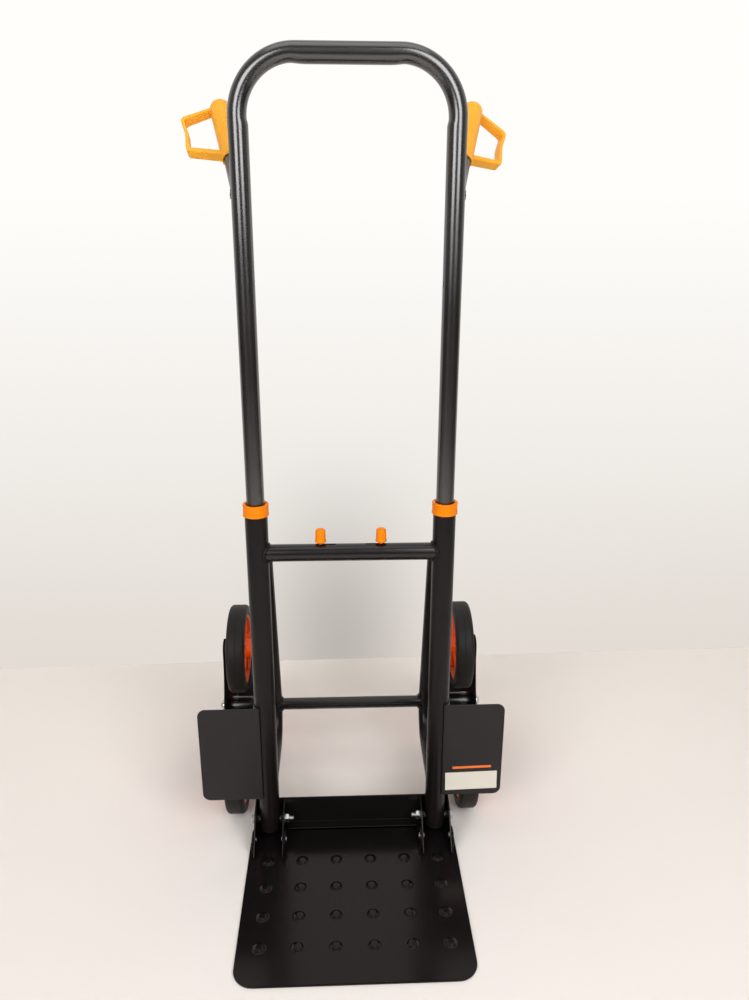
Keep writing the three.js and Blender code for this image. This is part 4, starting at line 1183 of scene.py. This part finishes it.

# %% [markdown]
# ## Wheels
#
# A solid rubber tyre is moulded onto a plastic rim. The tyre is turned, with round shoulders, a
# small step on each side wall where the mould's insert sat, and a fine parting line round the
# tread. The rim is dished on both sides, and five ribs with rounded edges brace it. A black bush
# covers the hub's outer end, because the photo shows no red between the wheel and the outer plate:
# its black is partly painted shade, a dark piece put in the shadow between them.

# %% Wheels
tyre_half, _, wheel_radius = half_size("right_top_tyre")
hub_half, _, rim_outer = half_size("right_top_rim")
hub_end = hub_half - 0.2
band_half = 13
bush_foot, bush_radius, bush_bore = tyre_half - 1, 17.4, 15
side_wall = wheel_radius - 15  # radius where the tyre meets the rim
tread = rounded(
    [(side_wall, 0), (side_wall, tyre_half - 0.6), (wheel_radius - 12, tyre_half - 0.2),
     (wheel_radius - 11.4, tyre_half), (wheel_radius, tyre_half - 0.5), (wheel_radius, 0.5),
     (wheel_radius - 0.35, 0)],
    [0, 0.8, 0.6, 0.5, 6.5, 0.2, 0], closed=False, steps=8,
)
rim_side = rounded(
    [(5.4, 0), (5.4, hub_end), (15.5, hub_end), (17, 7), (26, 2.4), (44, 2.4), (52.8, 6.5),
     (53.6, band_half), (rim_outer, band_half), (rim_outer, 0)],
    [0, 0.5, 1.4, 5, 6, 10, 3, 1, 0.8, 0], closed=False, steps=7,
)
tread, rim_side = (np.concatenate([half, half[::-1] * [1, -1]]) for half in (tread, rim_side))
bush_profile = rounded(
    [(bush_bore, bush_foot), (bush_radius, bush_foot), (bush_radius, hub_half), (6, hub_half),
     (6, hub_half - 0.5), (bush_bore, hub_half - 0.5), (bush_bore, bush_foot)],
    [0, 0.6, 1.2, 0.1, 0, 0, 0], closed=False, steps=4,
)
rib = [(14.5, -12.5), (54.4, -11), (54.4, 11), (14.5, 12.5)]
for wheel in wheel_nodes:
    centre, body = middle(f"{wheel}_tyre"), f"{wheel}_wheel"
    tyre = turned(tread, centre, (1, 0, 0), 96)
    piece(f"{wheel}_solid_tyre", [tyre], body, "tyre_rubber", f"{wheel}_tyre")
    surfaces = [turned(rim_side, centre, (1, 0, 0), 80)]
    for angle in np.arange(5) * 2 * np.pi / 5:
        radial = np.array([0, math.cos(angle), math.sin(angle)])
        tangent = np.array([0, -math.sin(angle), math.cos(angle)])
        points, faces = slab(rib, -2, 2, axes=(radial, (1, 0, 0), tangent))
        surfaces.append((points + centre, faces))
    rim = round_off(mesh_object(f"{wheel}_ribbed_rim", surfaces), 0.8, 3, 55)
    dress(rim, body, "wheel_plastic", f"{wheel}_rim")
    outwards = SIDES[wheel.split("_")[0]]
    bush = turned(bush_profile * [1, outwards], centre, (1, 0, 0), 48)
    piece(f"{wheel}_hub_bush_and_painted_shade", [bush], body, "black_plastic")
print("wheels of", round(2 * wheel_radius), "across,", round(2 * tyre_half), "wide")

# %% [markdown]
# ## Label cards
#
# A film-laminated card hangs on each main tube: a flat panel with rounded corners in front, and a
# wing folded round the tube's outer side. On this part the cards carry no words. The right one
# keeps two plain shapes, an orange rule and a blank pale sticker, each its own thin piece.

# %% Label cards
card_low, card_high = span("right_label_card")
card_front, card_foot, card_top = card_low[1], card_low[2], card_high[2]
card_thick, wing_thick = 2, 1.4
wing_inner = tube_radius + play
card_inner = 7.5  # from the tube's middle outwards to the panel's inner edge
wing_start = math.asin(card_inner / wing_inner)
wing_end = np.pi / 2 + math.asin(6 / 17.7)  # the wing's end is 6 mm behind the tube's middle
wide_corner, small_corner = 12, 1.2
for name, side in SIDES.items():
    low_x, high_x = sorted((side * (tube_x + card_inner), side * card_high[0]))
    first, second = (small_corner, wide_corner)[::side]  # the wide corners are the outer ones
    radii = [first, second, second, first]
    panel = rounded(rectangle((low_x, card_foot), (high_x, card_top)), radii, steps=10)
    surfaces = [slab(panel, -card_front - card_thick, -card_front, axes=FACING)]
    sweep = np.linspace(wing_start, wing_end, 20)[:, None]
    ring = np.hstack([side * np.sin(sweep), -np.cos(sweep)])
    bend = np.concatenate([wing_inner * ring, (wing_inner + wing_thick) * ring[::-1]])
    surfaces.append(slab(bend + [side * tube_x, 0], card_foot, card_top))
    card = round_off(mesh_object(f"{name}_card", surfaces), 0.35)
    dress(card, "frame", "card_board", f"{name}_label_card")

tilt = math.radians(1.5)  # the print sits a little askew on the card
askew = ((math.cos(tilt), 0, math.sin(tilt)), (-math.sin(tilt), 0, math.cos(tilt)), (0, -1, 0))
films = {  # the finish, the middle in X and Z, and the size
    "orange_rule": ("orange_film", (186.2, 139), (60.5, 4.2)),
    "blank_sticker": ("pale_film", (186, 113.9), (81.3, 32.4)),
}
for name, (slot, centre, size) in films.items():
    half = np.array(size) / 2
    points, faces = slab(rounded(rectangle(-half, half), 0.6), -0.2, 0.1, axes=askew)
    surface = (points + [centre[0], card_front, centre[1]], faces)
    piece(f"right_card_{name}", [surface], "frame", slot)
print("cards from z", card_foot.round(1), "to", card_top.round(1))

# %% [markdown]
# ## Floor, backdrop, camera and light
#
# The truck stands in a small studio: a white cloth hangs behind it and meets a pale floor in a
# soft line. The backdrop shows the camera and reflections a pale colour with painted light in it,
# brighter towards the top and with a painted shadow behind the truck, and lets a view from behind
# pass, so that the truck can be looked at from all sides.

# %% Floor and backdrop


def plain(name, hex_colour):
    """A stage material of one colour, and its tree, its shader and its place in metres."""
    made = bpy.data.materials.new(name)
    made.use_nodes = True
    tree = made.node_tree
    shader = tree.nodes["Principled BSDF"]
    shader.inputs["Base Color"].default_value = linear(hex_colour)
    shader.inputs["Roughness"].default_value = 0.8
    shader.inputs["Specular IOR Level"].default_value = 0.2
    return made, tree, shader, add(tree, "TexCoord", out="Object")


def maths(tree, operation, first, second=0):
    """A value worked out from two others."""
    return add(tree, "Math", [(0, first), (1, second)], operation=operation)


def axis_of(tree, vector, letter):
    """One of a vector's three numbers."""
    return add(tree, "SeparateXYZ", [(0, vector)], out=letter)


def ray(tree, kind):
    """One for a ray of the given kind, and zero for the others."""
    return add(tree, "LightPath", out=f"Is {kind} Ray")


def seen_by(tree):
    """One for a ray that the camera sends, mirrored and let through ones included."""
    seen = maths(tree, "MAXIMUM", ray(tree, "Camera"), ray(tree, "Glossy"))
    return maths(tree, "MAXIMUM", seen, ray(tree, "Transmission"))


def either(tree, share, first, second):
    """The first shader where the share is zero, and the second where it is one."""
    return add(tree, "MixShader", [(0, share), (1, first), (2, second)])


# Between 1.1 m and 2.6 m from the truck the floor's colour darkens to grey, a painted shade for the
# dim studio away from the lamps, which the tubes mirror. From there on the camera sees a pale haze
# instead of it.
floor_tone = "#f4ede8"
reach = 12.0
floor_mesh = bpy.data.meshes.new("floor")
corners = [(x, y, 0) for x, y in rectangle((-reach, -reach), (reach, reach))]
floor_mesh.from_pydata(corners, [], [(0, 1, 2, 3)])
floor = in_scene("floor", floor_mesh)
floor_finish, tree, shader, place = plain("pale_floor", floor_tone)
away = add(tree, "VectorMath", [(0, place)], out="Value", operation="LENGTH")
fade = remap(tree, away, 1.1, 2.6, 0, 1, "SMOOTHSTEP")
tree.links.new(blend(tree, fade, floor_tone, "#8f8b88"), shader.inputs["Base Color"])
far_off = maths(tree, "MULTIPLY", fade, ray(tree, "Camera"))
haze = add(tree, "Emission", [("Color", linear("#dbd5d0"))])
both = either(tree, far_off, shader.outputs[0], haze)
tree.links.new(both, tree.nodes["Material Output"].inputs["Surface"])
floor.data.materials.append(floor_finish)

wall_y, wall_high, wall_wide, cove = 673.0, 2600.0, 2400.0, 110.0
wall_turn = 0.0206  # how much nearer the wall comes for each step to the left
turn = np.linspace(0, np.pi / 2, 9)[:, None]
bend = np.hstack([wall_y - cove + cove * np.sin(turn), cove - cove * np.cos(turn)])
section = [*bend, (wall_y, wall_high)]
points = [[[x, y + wall_turn * x, z + 0.3] for x in (-wall_wide, wall_wide)] for y, z in section]
backdrop = mesh_object("backdrop", [grid(np.array(points), close_columns=False)], 80)
if backdrop.data.polygons[-1].normal.y > 0:
    backdrop.data.flip_normals()

# What the camera and reflections see of the cloth is painted light. Its colour rises with height, a
# painted shading for the lamps lighting the upper cloth more, and a painted shadow behind the
# truck, 0.26 m to each side and 0.55 m high, takes up to 0.34 off it.
cloth, tree, shader, place = plain("white_cloth", "#f2efe9")
height = axis_of(tree, place, "Z")
ramp = tree.nodes.new("ShaderNodeValToRGB")
tree.links.new(remap(tree, height, 0, 1, 0, 1), ramp.inputs[0])
ramp.color_ramp.elements[0].color = linear("#e3dcd5")
ramp.color_ramp.elements[1].color = linear("#fffefb")
ramp.color_ramp.elements.new(0.45).color = linear("#f0ece7")
beside = maths(tree, "ABSOLUTE", maths(tree, "ADD", axis_of(tree, place, "X"), 0.02))
beside = remap(tree, beside, 0, 0.26, 1, 0, "SMOOTHSTEP")
painted_shadow_strength = remap(tree, height, 0, 0.55, 0.34, 0, "SMOOTHSTEP")
lit = maths(tree, "SUBTRACT", 1, maths(tree, "MULTIPLY", beside, painted_shadow_strength))
painted_cloth_light = add(tree, "Emission", [("Color", ramp.outputs[0]), ("Strength", lit)])
# own: the cloth as camera rays and reflections see it, its painted gradient and painted shadow
# included
own = either(tree, seen_by(tree), shader.outputs[0], painted_cloth_light)
from_behind = add(tree, "NewGeometry", out="Backfacing")
both = either(tree, from_behind, own, add(tree, "BsdfTransparent"))
tree.links.new(both, tree.nodes["Material Output"].inputs["Surface"])
backdrop.data.materials.append(cloth)

# %% World
room_light, pale_light = 0.14, 0.85
world = bpy.data.worlds.new("studio")
bpy.context.scene.world = world
world.use_nodes = True
tree = world.node_tree
room = tree.nodes["Background"]
room.inputs["Color"].default_value = linear("#f4f2ef")
room.inputs["Strength"].default_value = room_light
towards_back = axis_of(tree, add(tree, "TexCoord", out="Generated"), "Y")
level = remap(tree, towards_back, -0.5, 0.4, room_light, pale_light)
direct = maths(tree, "MULTIPLY", ray(tree, "Camera"), pale_light)
level = maths(tree, "MAXIMUM", level, direct)
pale = add(tree, "Background", [("Color", linear("#f1eeea")), ("Strength", level)])
both = either(tree, seen_by(tree), room.outputs[0], pale)
tree.links.new(both, tree.nodes["World Output"].inputs["Surface"])

# %% Camera
yaw, pitch, roll = 0.0428, 0.3315, 0.0036
level_way = np.array([math.sin(yaw), math.cos(yaw), 0])
forward = level_way * math.cos(pitch) - np.array([0, 0, math.sin(pitch)])
right = np.array([math.cos(yaw), -math.sin(yaw), 0])
up = np.cross(right, forward)
tilted = right * math.cos(roll) + up * math.sin(roll)
up = up * math.cos(roll) - right * math.sin(roll)
place = np.eye(4)
place[:3, :3] = np.stack([tilted, up, -forward], axis=1)
place[:3, 3] = np.array([-12.72, -1076.47, 946.98]) * MM  # as fitted to the photo
camera_data = bpy.data.cameras.new("camera")
camera_data.sensor_width = 36
camera_data.lens = 814.21 * 36 / 1000  # the photo's long side is 1000 pixels
camera_data.clip_start, camera_data.clip_end = 0.02, 60
bpy.context.scene.camera = in_scene("camera", camera_data, place)

# %% Lights


def softbox(name, centre, target, width, height, power):
    """A soft rectangular lamp that faces a target."""
    data = bpy.data.lights.new(name, "AREA")
    data.shape = "RECTANGLE"
    data.size, data.size_y = width, height
    data.energy = power
    centre, target = np.asarray(centre, float), np.asarray(target, float)
    back = unit(centre - target)
    side_way = unit(np.cross([0, 0, 1.0], back))
    place = np.eye(4)
    place[:3, :3] = np.stack([side_way, np.cross(back, side_way), back], axis=1)
    place[:3, 3] = centre
    return in_scene(name, data, place)


softbox("left_softbox", (-1.35, -2.5, 1.82), (0, 0, 0.8), 1.5, 1.8, 54)
softbox("right_softbox", (1.0, -1.9, 1.83), (0, 0, 0.8), 1.15, 1.8, 41)
softbox("top_softbox", (0.0, -0.3, 2.6), (0, 0, 0.0), 1.6, 1.2, 7)
bpy.context.scene.view_settings.view_transform = "Standard"
